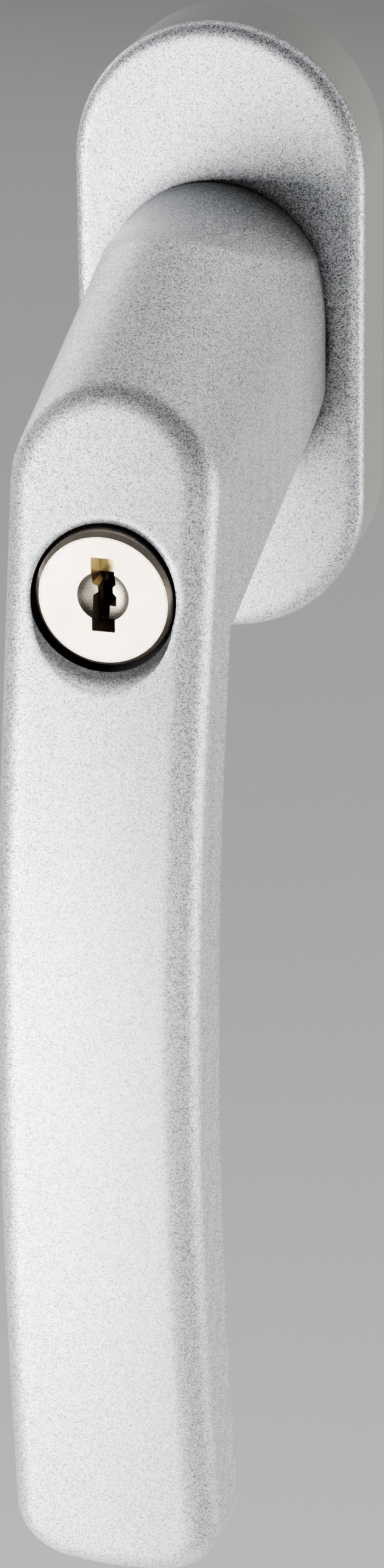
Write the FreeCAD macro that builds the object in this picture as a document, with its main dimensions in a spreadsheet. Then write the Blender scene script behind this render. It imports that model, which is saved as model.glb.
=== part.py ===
import FreeCAD, Part
import math
import os
import Sketcher

# Locking window handle.
# Millimetres. +Z is up, the window is behind (+Y) and the grip hangs in front (-Y).
# The origin lies on the spindle's axis, in the face that rests on the window.
# A depth is a distance in front of that face, so a point at depth d has Y = -d.

SIZES = {
    # rosette
    "cover_width": 35.0,
    "cover_height": 75.3,
    "cover_front_depth": 12.0,
    "cover_thickness": 1.8,
    "cover_rounding": 1.7,
    "cover_wall": 1.6,
    "cover_skin": 0.9,
    "cover_overhang": 0.3,
    "cover_turn_gap": 0.05,
    "base_cavity_depth": 6.2,
    "screw_pitch": 43.0,
    "screw_hole_radius": 2.7,
    "screw_head_radius": 4.9,
    "screw_head_depth": 3.4,
    "boss_radius": 5.0,
    "boss_length": 6.0,
    "core_radius": 3.2,
    "core_depth": 7.4,
    "core_side_place": 10.6,
    "core_side_height": 20.5,
    "core_end_height": 31.5,
    # fits
    "running_fit": 0.05,
    "seat_fit": 0.05,
    "end_gap": 0.15,
    # ring, bush and index in the base
    "ring_radius": 12.95,
    "ring_flange_radius": 14.5,
    "ring_flange_thickness": 1.6,
    "bush_wall": 1.0,
    "bush_flange_radius": 8.4,
    "back_plate_radius": 16.0,
    "back_plate_thickness": 1.0,
    "spindle_opening_radius": 5.5,
    "carrier_bore_radius": 9.6,
    "plate_screw_circle": 11.6,
    "plate_screw_radius": 1.1,
    "plate_screw_head_radius": 2.0,
    "plate_screw_head_height": 0.8,
    "plate_screw_length": 8.4,
    "plate_screw_lean": 65.0,
    "spring_thickness": 0.4,
    "spring_half_length": 9.3,
    "spring_width": 1.6,
    "spring_held_end": 1.2,
    "spring_room": 1.6,
    "hub_side": 14.0,
    "hub_corner_radius": 5.0,
    "hub_thickness": 1.8,
    "clip_thickness": 0.9,
    "clip_radius": 8.2,
    "clip_groove_drop": 0.7,
    "clip_mouth": 7.0,
    # spindle
    "spindle_side": 7.0,
    "spindle_chamfer": 0.5,
    "spindle_reach": 35.0,
    "spindle_seat_depth": 18.0,
    "spindle_pin_radius": 1.0,
    "spindle_pin_depth": 9.0,
    # lever
    "neck_rear_depth": 12.4,
    "neck_half_width": 13.4,
    "neck_top": 18.9,
    "neck_bottom": -16.9,
    "neck_under_angle": 17.5,
    "neck_rear_rounding": 0.7,
    "grip_root_depth": 49.6,
    "slope_angle": 21.8,
    "crease_depth": 33.0,
    "arch_rear_rise": 25.4,
    "arch_front_rise": 12.0,
    "arch_front_depth": 57.5,
    "flank_draft": 1.67,
    "form_allowance": 5.4,
    "face_top_height": 30.0,
    "face_top_depth": 53.9,
    "face_knuckle_height": -45.0,
    "face_knuckle_depth": 68.4,
    "face_middle_height": -80.0,
    "face_middle_depth": 70.6,
    "face_lower_height": -115.0,
    "face_lower_depth": 68.3,
    "face_end_depth": 63.9,
    "grip_flare": 0.7,
    "grip_bottom": -139.8,
    "grip_bottom_crown": 2.3,
    "grip_corner_radius": 7.5,
    "grip_thickness": 13.0,
    "front_edge_radius": 3.4,
    "rear_edge_radius": 3.2,
    "collar_radius": 6.6,
    "collar_rear_depth": 3.0,
    "flank_clearance": 0.03,
    "neck_skirt": 9.0,
    # lock
    "lock_height": -14.3,
    "lock_mouth_radius": 8.45,
    "lock_mouth_length": 5.5,
    "lock_dish_rise": 0.5,
    "barrel_radius": 8.0,
    "barrel_length": 21.0,
    "barrel_chamfer": 0.55,
    "plug_head_radius": 7.3,
    "plug_head_length": 2.1,
    "plug_radius": 6.0,
    "plug_length": 22.5,
    "dimple_radius": 3.0,
    "dimple_drop": 0.9,
    "dimple_lift": 0.4,
    "keyway_width": 2.7,
    "keyway_height": 8.8,
    "keyway_lift": 0.6,
    "keyway_length": 19.0,
    "left_rib_reach": 0.55,
    "right_rib_reach": 0.4,
    "rib_height": 1.5,
    "rib_chamfer": 0.4,
    "rib_lift": 0.95,
    "ward_reach": 0.75,
    "ward_height": 1.3,
    "ward_drop": 0.9,
    "wafer_pitch": 3.0,
    "wafer_thickness": 1.0,
    "wafer_width": 6.4,
    "wafer_height": 9.8,
    "wafer_window_width": 3.5,
    "wafer_1_cut": 3.1,
    "wafer_2_cut": 1.6,
    "wafer_3_cut": 2.6,
    "wafer_4_cut": 1.1,
    "wafer_5_cut": 2.1,
    "wafer_first_setback": 3.9,
    "barrel_pin_radius": 1.25,
    "barrel_pin_setback": 15.5,
    "barrel_pin_bite": 1.2,
    "barrel_pin_length": 6.0,
    "plug_clip_radius": 7.0,
    "plug_clip_groove": 0.8,
    "plug_clip_mouth": 6.0,
    "tail_radius": 2.6,
    "tail_half_width": 2.0,
    "tail_length": 4.4,
    # cam and bolt
    "cam_radius": 5.4,
    "cam_length": 13.6,
    "cam_groove_floor": 3.7,
    "cam_groove_half_width": 1.8,
    "cam_run_out": 20.0,
    "cam_screw_radius": 1.25,
    "cam_screw_head_radius": 2.4,
    "cam_screw_head_length": 2.0,
    "cam_screw_thread_length": 7.0,
    "cam_screw_web": 4.0,
    "bolt_bore_length": 1.45,
    "bolt_travel": 6.0,
    "bolt_turn": 90.0,
    "bolt_circle": 10.5,
    "bolt_radius": 1.9,
    "bolt_hole_fit": 0.15,
    "bolt_tip_chamfer": 0.4,
    "follower_setback": 3.5,
    "follower_radius": 1.1,
    "slider_half_width": 3.0,
    "slider_thickness": 3.0,
    "slider_gap": 0.2,
    "slider_foot_length": 5.0,
    "slider_foot_wall": 1.0,
}

BOLT_HOLE_COUNT = 4
ARCH_STEPS = 6

doc = FreeCAD.newDocument("window_handle")
sheet = doc.addObject("Spreadsheet::Sheet", "sizes")
for row, (alias, number) in enumerate(SIZES.items(), start=1):
    sheet.set(f"A{row}", alias)
    sheet.set(f"B{row}", str(number))
    sheet.setAlias(f"B{row}", alias)
doc.recompute()


class Size:
    """A size that carries its number and its formula in the sheet."""

    def __init__(self, number, formula):
        self.number = number
        self.formula = formula

    def __add__(self, other):
        return joined(self, "+", other, self.number + as_size(other).number)

    def __sub__(self, other):
        return joined(self, "-", other, self.number - as_size(other).number)

    def __mul__(self, other):
        return joined(self, "*", other, self.number * as_size(other).number)

    def __truediv__(self, other):
        return joined(self, "/", other, self.number / as_size(other).number)

    def __radd__(self, other):
        return as_size(other) + self

    def __rsub__(self, other):
        return as_size(other) - self

    def __rmul__(self, other):
        return as_size(other) * self

    def __neg__(self):
        return Size(-self.number, f"(0 - {self.formula})")


def as_size(value):
    if isinstance(value, Size):
        return value
    return Size(float(value), f"({value})")


def joined(left, sign, right, number):
    return Size(number, f"({as_size(left).formula} {sign} {as_size(right).formula})")


class Cells:
    """The sheet's cells by name, such as mm.cover_width."""

    def __getattr__(self, alias):
        return Size(float(sheet.get(alias)), f"sizes.{alias}")


mm = Cells()


def bind(thing, path, size):
    """Ties one property or constraint to the sheet."""
    thing.setExpression(path, as_size(size).formula)


def on_circle(radius, angle):
    """The point of a circle at an angle in degrees, tied to the sheet."""
    turn = as_size(angle)
    across = Size(math.cos(math.radians(turn.number)), f"cos({turn.formula} * 1deg)")
    upward = Size(math.sin(math.radians(turn.number)), f"sin({turn.formula} * 1deg)")
    return across * radius, upward * radius


# Places shared by several pieces
cover_rear_depth = mm.cover_front_depth - mm.cover_thickness
base_front_depth = cover_rear_depth - mm.cover_turn_gap
cover_half_width = mm.cover_width / 2
cover_half_height = mm.cover_height / 2
base_half_width = cover_half_width - mm.cover_overhang
base_half_height = cover_half_height - mm.cover_overhang
screw_place = mm.screw_pitch / 2
ring_front_depth = mm.cover_front_depth - mm.seat_fit
ring_rear_depth = mm.base_cavity_depth - mm.ring_flange_thickness
bush_bore_radius = mm.collar_radius + mm.running_fit
bush_radius = bush_bore_radius + mm.bush_wall
ring_bore_radius = bush_radius + mm.seat_fit
cover_bore_radius = mm.ring_radius + mm.end_gap
clip_front_depth = ring_rear_depth - mm.running_fit
clip_rear_depth = clip_front_depth - mm.clip_thickness
clip_inner_radius = mm.collar_radius - mm.clip_groove_drop
hub_front_depth = mm.collar_rear_depth - mm.running_fit
hub_rear_depth = hub_front_depth - mm.hub_thickness
hub_middle_depth = hub_rear_depth + mm.hub_thickness / 2
spring_near_place = mm.hub_side / 2 + mm.running_fit
spring_far_place = spring_near_place + mm.spring_thickness
spindle_half = mm.spindle_side / 2
plate_screw_leans = [mm.plate_screw_lean, 180 - mm.plate_screw_lean,
                     180 + mm.plate_screw_lean, 360 - mm.plate_screw_lean]

foot_rear_depth = mm.neck_rear_depth + mm.bolt_bore_length + mm.end_gap * 3 + mm.bolt_travel
foot_front_depth = foot_rear_depth + mm.slider_foot_length
cam_rear_depth = foot_front_depth + mm.end_gap * 7
cam_front_depth = cam_rear_depth + mm.cam_length
lock_face_depth = cam_front_depth + mm.seat_fit + mm.plug_length
lock_mouth_depth = lock_face_depth - mm.lock_mouth_length
form_depth = mm.face_middle_depth + mm.form_allowance
barrel_pin_depth = lock_face_depth - mm.barrel_pin_setback
barrel_rear_depth = lock_face_depth - mm.barrel_length
plug_rear_depth = lock_face_depth - mm.plug_length
plug_head_depth = lock_face_depth - mm.plug_head_length
plug_clip_front = barrel_rear_depth - mm.running_fit
plug_clip_rear = plug_clip_front - mm.clip_thickness
plug_clip_inner = mm.plug_radius - mm.plug_clip_groove
tail_rear_depth = plug_rear_depth - mm.tail_length
cam_screw_seat = tail_rear_depth - mm.cam_screw_web
follower_depth = cam_front_depth - mm.follower_setback
lock_seat_radius = mm.barrel_radius + mm.seat_fit
keyway_top = mm.lock_height + mm.keyway_lift + mm.keyway_height / 2
keyway_bottom = keyway_top - mm.keyway_height
wafer_cuts = [mm.wafer_1_cut, mm.wafer_2_cut, mm.wafer_3_cut, mm.wafer_4_cut, mm.wafer_5_cut]
slider_bottom = mm.lock_height + mm.cam_radius + mm.slider_gap
slider_top = slider_bottom + mm.slider_thickness
slider_front_depth = cam_front_depth - mm.end_gap * 4
foot_bottom = -mm.bolt_circle - mm.bolt_radius - mm.slider_foot_wall
bolt_hole_radius = mm.bolt_radius + mm.bolt_hole_fit
bolt_tip_depth = mm.neck_rear_depth + mm.end_gap * 3


# Building blocks

FORWARD = FreeCAD.Rotation(FreeCAD.Vector(1, 0, 0), 90)


def set_place(part, x, y, z):
    bind(part, "Placement.Base.x", x)
    bind(part, "Placement.Base.y", y)
    bind(part, "Placement.Base.z", z)


def bar(name, radius, rear, front, x=0, z=0):
    """A round bar square to the window, from a rear to a front depth."""
    part = doc.addObject("Part::Cylinder", name)
    part.Placement = FreeCAD.Placement(FreeCAD.Vector(), FORWARD)
    bind(part, "Radius", radius)
    bind(part, "Height", as_size(front) - rear)
    set_place(part, x, -as_size(rear), z)
    return part


def taper(name, rear_radius, front_radius, rear, front, x=0, z=0):
    """A cone square to the window."""
    part = doc.addObject("Part::Cone", name)
    part.Placement = FreeCAD.Placement(FreeCAD.Vector(), FORWARD)
    bind(part, "Radius1", rear_radius)
    bind(part, "Radius2", front_radius)
    bind(part, "Height", as_size(front) - rear)
    set_place(part, x, -as_size(rear), z)
    return part


def block(name, x_one, x_two, rear, front, z_low, z_high):
    """A box between two depths. The two x places may come in either order."""
    x_low, x_high = sorted((as_size(x_one), as_size(x_two)), key=lambda size: size.number)
    part = doc.addObject("Part::Box", name)
    bind(part, "Length", x_high - x_low)
    bind(part, "Width", as_size(front) - rear)
    bind(part, "Height", as_size(z_high) - z_low)
    set_place(part, x_low, -as_size(front), z_low)
    return part


def post(name, radius, x, depth, z_low, z_high):
    """An upright round pin."""
    part = doc.addObject("Part::Cylinder", name)
    bind(part, "Radius", radius)
    bind(part, "Height", as_size(z_high) - z_low)
    set_place(part, x, -as_size(depth), z_low)
    return part


def rod_across(name, radius, half_length, depth, z=0):
    """A round pin that runs from left to right."""
    part = doc.addObject("Part::Cylinder", name)
    part.Placement = FreeCAD.Placement(
        FreeCAD.Vector(), FreeCAD.Rotation(FreeCAD.Vector(0, 1, 0), 90))
    bind(part, "Radius", radius)
    bind(part, "Height", as_size(half_length) * 2)
    set_place(part, -as_size(half_length), -as_size(depth), z)
    return part


def cut(name, base, *tools):
    part = doc.addObject("Part::Cut", name)
    part.Base = base
    part.Tool = tools[0] if len(tools) == 1 else fuse(name + "_tools", *tools)
    return part


def fuse(name, *shapes):
    part = doc.addObject("Part::MultiFuse", name)
    part.Shapes = list(shapes)
    return part


def common(name, *shapes):
    part = doc.addObject("Part::MultiCommon", name)
    part.Shapes = list(shapes)
    return part


def origin_feature(body, role):
    return [feature for feature in body.Origin.OriginFeatures if feature.Role == role][0]


def sketch_at(body, name, depth, role="XZ_Plane"):
    """A sketch parallel to the window. Its normal points at the viewer."""
    sketch = body.newObject("Sketcher::SketchObject", name)
    sketch.AttachmentSupport = [(origin_feature(body, role), "")]
    sketch.MapMode = "FlatFace"
    bind(sketch, "AttachmentOffset.Base.z", depth)
    return sketch


def dimension(sketch, kind, where, size):
    """A driving dimension of a sketch, tied to the sheet."""
    index = sketch.addConstraint(Sketcher.Constraint(kind, *where, as_size(size).number))
    name = f"{kind}_{index}"
    sketch.renameConstraint(index, name)
    bind(sketch, f"Constraints.{name}", size)


def place_point(sketch, element, point, x, z):
    """Sets a sketch point by its distances from the sketch's origin."""
    dimension(sketch, "DistanceX", (-1, 1, element, point), x)
    dimension(sketch, "DistanceY", (-1, 1, element, point), z)


def draw_circle(sketch, radius, x=0, z=0):
    x, z = as_size(x), as_size(z)
    centre = FreeCAD.Vector(x.number, z.number, 0)
    ring = sketch.addGeometry(Part.Circle(centre, FreeCAD.Vector(0, 0, 1), as_size(radius).number))
    dimension(sketch, "Radius", (ring,), radius)
    if x.number == 0 and z.number == 0:
        sketch.addConstraint(Sketcher.Constraint("Coincident", ring, 3, -1, 1))
    else:
        place_point(sketch, ring, 3, x, z)


def draw_outline(sketch, corners):
    """A closed outline of straight lines, each corner set by its own two distances."""
    points = [FreeCAD.Vector(as_size(x).number, as_size(z).number, 0) for x, z in corners]
    count = len(points)
    lines = [sketch.addGeometry(Part.LineSegment(points[index], points[(index + 1) % count]))
             for index in range(count)]
    for index in range(count):
        following = lines[(index + 1) % count]
        sketch.addConstraint(Sketcher.Constraint("Coincident", lines[index], 2, following, 1))
        place_point(sketch, lines[index], 1, *corners[index])


def draw_rectangle(sketch, half_width, half_height, z=0):
    low, high = as_size(z) - half_height, as_size(z) + half_height
    draw_outline(sketch, [(-as_size(half_width), low), (half_width, low),
                          (half_width, high), (-as_size(half_width), high)])


def draw_stadium(sketch, half_width, half_height):
    """An upright outline with half-round ends, centred on the origin."""
    radius = as_size(half_width).number
    rise = as_size(half_height).number - radius
    normal = FreeCAD.Vector(0, 0, 1)
    over = Part.Circle(FreeCAD.Vector(0, rise, 0), normal, radius)
    under = Part.Circle(FreeCAD.Vector(0, -rise, 0), normal, radius)
    top = sketch.addGeometry(Part.ArcOfCircle(over, 0, math.pi))
    bottom = sketch.addGeometry(Part.ArcOfCircle(under, math.pi, 2 * math.pi))
    left = sketch.addGeometry(
        Part.LineSegment(FreeCAD.Vector(-radius, rise, 0), FreeCAD.Vector(-radius, -rise, 0)))
    right = sketch.addGeometry(
        Part.LineSegment(FreeCAD.Vector(radius, -rise, 0), FreeCAD.Vector(radius, rise, 0)))
    for before, after in ((top, left), (left, bottom), (bottom, right), (right, top)):
        sketch.addConstraint(Sketcher.Constraint("Tangent", before, 2, after, 1))
    sketch.addConstraint(Sketcher.Constraint("Vertical", left))
    sketch.addConstraint(Sketcher.Constraint("PointOnObject", top, 3, -2))
    dimension(sketch, "Radius", (top,), half_width)
    dimension(sketch, "DistanceY", (-1, 1, top, 3), as_size(half_height) - half_width)
    dimension(sketch, "DistanceY", (bottom, 3, -1, 1), as_size(half_height) - half_width)


def pad(body, name, sketch, length, backwards=False):
    """Adds from the sketch towards the viewer, or towards the window."""
    feature = body.newObject("PartDesign::Pad", name)
    feature.Profile = sketch
    feature.Reversed = backwards
    bind(feature, "Length", length)
    return feature


def pocket(body, name, sketch, length, forwards=False):
    """Cuts from the sketch towards the window, or towards the viewer."""
    feature = body.newObject("PartDesign::Pocket", name)
    feature.Profile = sketch
    feature.Reversed = forwards
    bind(feature, "Length", length)
    return feature


def revolved(name, profile):
    """A body turned about the spindle's axis from its (radius, depth) corners."""
    body = doc.addObject("PartDesign::Body", name)
    sketch = sketch_at(body, name + "_profile", 0, "XY_Plane")
    draw_outline(sketch, [(radius, -as_size(depth)) for radius, depth in profile])
    feature = body.newObject("PartDesign::Revolution", name + "_turned")
    feature.Profile = sketch
    feature.ReferenceAxis = (sketch, ["V_Axis"])
    feature.Angle = 360
    return body


def edges_where(shape, test):
    return [f"Edge{number}" for number, edge in enumerate(shape.Edges, start=1) if test(edge)]


# Rosette

def make_base_plate():
    body = doc.addObject("PartDesign::Body", "base_plate")
    outline = sketch_at(body, "base_outline", 0)
    draw_stadium(outline, base_half_width, base_half_height)
    pad(body, "base_block", outline, base_front_depth)
    bosses = sketch_at(body, "base_boss_circles", 0)
    recess = sketch_at(body, "base_recess_circle", 0)
    cavity = sketch_at(body, "base_cavity_circle", 0)
    bore = sketch_at(body, "base_bore_circle", 0)
    holes = sketch_at(body, "base_screw_circles", base_front_depth)
    heads = sketch_at(body, "base_head_circles", base_front_depth)
    cores = sketch_at(body, "base_core_circles", 0)
    draw_circle(recess, mm.back_plate_radius + mm.seat_fit)
    draw_circle(cavity, mm.ring_flange_radius + mm.seat_fit)
    draw_circle(bore, mm.ring_radius + mm.seat_fit)
    for side in (1, -1):
        draw_circle(bosses, mm.boss_radius, 0, side * screw_place)
        draw_circle(holes, mm.screw_hole_radius, 0, side * screw_place)
        draw_circle(heads, mm.screw_head_radius, 0, side * screw_place)
        draw_circle(cores, mm.core_radius, mm.core_side_place, side * mm.core_side_height)
        draw_circle(cores, mm.core_radius, -mm.core_side_place, side * mm.core_side_height)
        draw_circle(cores, mm.core_radius, 0, side * mm.core_end_height)
    pad(body, "base_bosses", bosses, mm.boss_length, backwards=True)
    pocket(body, "base_recess", recess, mm.back_plate_thickness, forwards=True)
    pocket(body, "base_cavity", cavity, mm.base_cavity_depth, forwards=True)
    pocket(body, "base_bore", bore, base_front_depth, forwards=True)
    pocket(body, "base_screw_holes", holes, base_front_depth + mm.boss_length)
    pocket(body, "base_head_seats", heads, mm.screw_head_depth)
    pocket(body, "base_cores", cores, mm.core_depth, forwards=True)
    return body


def make_rosette_cover():
    body = doc.addObject("PartDesign::Body", "rosette_cover")
    outline = sketch_at(body, "cover_outline", cover_rear_depth)
    draw_stadium(outline, cover_half_width, cover_half_height)
    pad(body, "cover_block", outline, mm.cover_thickness)
    hollow = sketch_at(body, "cover_hollow_outline", cover_rear_depth)
    draw_stadium(hollow, cover_half_width - mm.cover_wall, cover_half_height - mm.cover_wall)
    draw_circle(hollow, cover_bore_radius + mm.cover_wall)
    pocket(body, "cover_hollow", hollow, mm.cover_thickness - mm.cover_skin, forwards=True)
    bore = sketch_at(body, "cover_bore_circle", mm.cover_front_depth)
    draw_circle(bore, cover_bore_radius)
    last = pocket(body, "cover_bore", bore, mm.cover_thickness)
    doc.recompute()
    front = -mm.cover_front_depth.number
    reach = cover_bore_radius.number + mm.cover_wall.number / 2
    rim = edges_where(last.Shape, lambda edge: abs(edge.CenterOfMass.y - front) < 1e-4
                      and max(abs(vertex.Point.x) + abs(vertex.Point.z) for vertex in edge.Vertexes) > reach)
    rounding = body.newObject("PartDesign::Fillet", "cover_rounding")
    rounding.Base = (last, rim)
    bind(rounding, "Radius", mm.cover_rounding)
    return body


def make_lock_ring():
    body = revolved("lock_ring", [
        (ring_bore_radius, ring_rear_depth),
        (mm.ring_flange_radius, ring_rear_depth),
        (mm.ring_flange_radius, mm.base_cavity_depth),
        (mm.ring_radius, mm.base_cavity_depth),
        (mm.ring_radius, ring_front_depth),
        (ring_bore_radius, ring_front_depth)])
    screws = sketch_at(body, "ring_screw_circles", ring_rear_depth)
    for lean in plate_screw_leans:
        draw_circle(screws, mm.plate_screw_radius + mm.seat_fit, *on_circle(mm.plate_screw_circle, lean))
    screw_reach = mm.plate_screw_length - ring_rear_depth + mm.end_gap
    pocket(body, "ring_screw_holes", screws, screw_reach, forwards=True)
    hole = sketch_at(body, "ring_bolt_circle", ring_front_depth)
    draw_circle(hole, bolt_hole_radius, 0, -mm.bolt_circle)
    first = pocket(body, "ring_bolt_hole", hole, ring_front_depth - ring_rear_depth)
    doc.recompute()
    pattern = body.newObject("PartDesign::PolarPattern", "ring_bolt_holes")
    pattern.Originals = [first]
    pattern.Axis = (origin_feature(body, "Y_Axis"), [""])
    pattern.Angle = 360
    pattern.Occurrences = BOLT_HOLE_COUNT
    body.Tip = pattern
    return body


def make_collar_bush():
    flange_front = mm.neck_rear_depth - mm.running_fit
    return revolved("collar_bush", [
        (bush_bore_radius, ring_rear_depth + mm.seat_fit),
        (bush_radius, ring_rear_depth + mm.seat_fit),
        (bush_radius, ring_front_depth + mm.running_fit),
        (mm.bush_flange_radius, ring_front_depth + mm.running_fit),
        (mm.bush_flange_radius, flange_front),
        (bush_bore_radius, flange_front)])


def make_spring_carrier():
    rear, front = mm.back_plate_thickness, ring_rear_depth
    ring = bar("carrier_ring", mm.ring_flange_radius - mm.seat_fit, rear, front)
    tools = [bar("carrier_bore", mm.carrier_bore_radius, rear, front)]
    slot_front = hub_middle_depth + mm.spring_width / 2 + mm.seat_fit
    near = spring_near_place - mm.seat_fit
    far = spring_far_place + mm.seat_fit
    reach = mm.spring_half_length + mm.seat_fit
    free = mm.spring_half_length - mm.spring_held_end
    for side, word in ((-1, "left"), (1, "right")):
        tools.append(block(f"carrier_slot_{word}", side * near, side * far,
                           rear, slot_front, -reach, reach))
        tools.append(block(f"carrier_room_{word}", side * near, side * (far + mm.spring_room),
                           rear, slot_front, -free, free))
    for index, lean in enumerate(plate_screw_leans, start=1):
        tools.append(bar(f"carrier_screw_hole_{index}", mm.plate_screw_radius + mm.seat_fit,
                         rear, front, *on_circle(mm.plate_screw_circle, lean)))
    return cut("spring_carrier", ring, *tools)


def make_index_spring(word, side):
    return block(f"index_spring_{word}", side * spring_near_place, side * spring_far_place,
                 hub_middle_depth - mm.spring_width / 2, hub_middle_depth + mm.spring_width / 2,
                 -mm.spring_half_length, mm.spring_half_length)


def make_back_plate():
    disc = bar("back_disc", mm.back_plate_radius, 0, mm.back_plate_thickness - mm.seat_fit)
    tools = [bar("back_opening", mm.spindle_opening_radius, 0, mm.back_plate_thickness)]
    for index, lean in enumerate(plate_screw_leans, start=1):
        x, z = on_circle(mm.plate_screw_circle, lean)
        shank = mm.plate_screw_radius + mm.seat_fit
        head = mm.plate_screw_head_radius + mm.seat_fit * 2
        tools.append(bar(f"back_screw_hole_{index}", shank, 0, mm.back_plate_thickness, x, z))
        tools.append(taper(f"back_screw_sink_{index}", head, shank, 0, mm.plate_screw_head_height, x, z))
    return cut("back_plate", disc, *tools)


def make_plate_screws():
    screws = []
    for index, lean in enumerate(plate_screw_leans, start=1):
        x, z = on_circle(mm.plate_screw_circle, lean)
        rear = mm.seat_fit
        head = taper(f"plate_screw_head_{index}", mm.plate_screw_head_radius, mm.plate_screw_radius,
                     rear, mm.plate_screw_head_height, x, z)
        shank = bar(f"plate_screw_shank_{index}", mm.plate_screw_radius,
                    mm.plate_screw_head_height, mm.plate_screw_length, x, z)
        screws.append(fuse(f"plate_screw_{index}", head, shank))
    group = doc.addObject("Part::Compound", "plate_screws")
    group.Links = screws
    return group


# Spindle and index

def make_spindle():
    body = doc.addObject("PartDesign::Body", "spindle")
    square = sketch_at(body, "spindle_square", -mm.spindle_reach)
    draw_rectangle(square, spindle_half, spindle_half)
    length = mm.spindle_reach + mm.spindle_seat_depth
    last = pad(body, "spindle_bar", square, length)
    doc.recompute()
    long_edges = edges_where(last.Shape, lambda edge: edge.Length > length.number - 1)
    chamfer = body.newObject("PartDesign::Chamfer", "spindle_corners")
    chamfer.Base = (last, long_edges)
    bind(chamfer, "Size", mm.spindle_chamfer)
    hole = body.newObject("Sketcher::SketchObject", "spindle_pin_circle")
    hole.AttachmentSupport = [(origin_feature(body, "YZ_Plane"), "")]
    hole.MapMode = "FlatFace"
    draw_circle(hole, mm.spindle_pin_radius + mm.seat_fit, -mm.spindle_pin_depth, 0)
    drilled = body.newObject("PartDesign::Pocket", "spindle_pin_hole")
    drilled.Profile = hole
    drilled.Midplane = True
    bind(drilled, "Length", mm.spindle_side * 2)
    return body


def make_index_hub():
    body = doc.addObject("PartDesign::Body", "index_hub")
    square = sketch_at(body, "hub_square", hub_rear_depth)
    draw_rectangle(square, mm.hub_side / 2, mm.hub_side / 2)
    last = pad(body, "hub_block", square, mm.hub_thickness)
    doc.recompute()
    corners = edges_where(last.Shape, lambda edge: abs(edge.Length - mm.hub_thickness.number) < 1e-3)
    rounding = body.newObject("PartDesign::Fillet", "hub_corners")
    rounding.Base = (last, corners)
    bind(rounding, "Radius", mm.hub_corner_radius)
    hole = sketch_at(body, "hub_hole_square", hub_rear_depth)
    draw_rectangle(hole, spindle_half + mm.seat_fit, spindle_half + mm.seat_fit)
    pocket(body, "hub_hole", hole, mm.hub_thickness, forwards=True)
    return body


def make_circlip(name, inner, outer, rear, front, mouth, z=0):
    """A snap ring with its mouth at the top."""
    disc = bar(name + "_disc", outer, rear, front, 0, z)
    opening = bar(name + "_opening", inner, rear, front, 0, z)
    gap = block(name + "_mouth", -as_size(mouth) / 2, as_size(mouth) / 2, rear, front, z, as_size(z) + outer)
    return cut(name, disc, opening, gap)


# Lever

def half_width_at(depth):
    """The flanks lean inwards towards the viewer by the casting's draft."""
    draft = math.tan(math.radians(mm.flank_draft.number))
    return mm.neck_half_width.number - draft * (depth - mm.neck_rear_depth.number)


def slope_top_at(depth):
    """Height of the crown behind the head, where the top slopes down to the viewer."""
    crease = mm.crease_depth.number
    narrowing = mm.neck_half_width.number - half_width_at(crease)
    fall = math.tan(math.radians(mm.slope_angle.number))
    return mm.neck_top.number - narrowing + (crease - depth) * fall


def arch_rise_at(depth):
    """The sloping top is a tall arch at the rosette and a round one at the front face."""
    rear, front = mm.neck_rear_depth.number, mm.arch_front_depth.number
    share = (depth - rear) / (front - rear)
    return mm.arch_rear_rise.number * (1 - share) + mm.arch_front_rise.number * share


def flank_at(depth, height):
    """Half width of the lever at a depth and a height. The grip flares slightly downwards."""
    spring_line = slope_top_at(depth) - arch_rise_at(depth)
    share = (spring_line - height) / (spring_line - mm.grip_bottom.number)
    return half_width_at(depth) + mm.grip_flare.number * max(0.0, share) ** 2


def corner_height_at(depth):
    """Height of the grip's two lower corners. The bottom leans with the casting's draft, as the flanks do."""
    draft = math.tan(math.radians(mm.flank_draft.number))
    lean = draft * (depth - mm.grip_root_depth.number)
    return mm.grip_bottom.number + mm.grip_bottom_crown.number + lean


def front_outline(depth):
    """The lever seen from the front: a round top, two slightly flared flanks and a crowned bottom."""
    half = half_width_at(depth)
    spring_line = slope_top_at(depth) - half
    low = corner_height_at(depth)
    flare = mm.grip_flare.number
    drop = spring_line - low
    radius = (drop ** 2 + flare ** 2) / (2 * flare)
    belly = half + radius - math.sqrt(radius ** 2 - (drop / 2) ** 2)

    def point(x, z):
        return FreeCAD.Vector(x, -depth, z)

    arch = Part.Arc(point(half, spring_line), point(0, spring_line + half), point(-half, spring_line))
    left = Part.Arc(point(-half, spring_line), point(-belly, spring_line - drop / 2),
                    point(-half - flare, low))
    bottom = Part.Arc(point(-half - flare, low), point(0, low - mm.grip_bottom_crown.number),
                      point(half + flare, low))
    right = Part.Arc(point(half + flare, low), point(belly, spring_line - drop / 2),
                     point(half, spring_line))
    return Part.Wire([curve.toShape() for curve in (arch, left, bottom, right)])


def with_open_sides(arch, half, spring_line, depth):
    """Closes an arch below, on sides that open downwards clear of the flanks."""
    skirt = mm.neck_skirt.number
    low = mm.grip_bottom.number * 1.2
    corners = [FreeCAD.Vector(x, -depth, z) for x, z in (
        (-half, spring_line), (-half - skirt, low), (half + skirt, low), (half, spring_line))]
    sides = [Part.LineSegment(corners[index], corners[index + 1]) for index in range(3)]
    return Part.Wire([curve.toShape() for curve in [arch] + sides])


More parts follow.
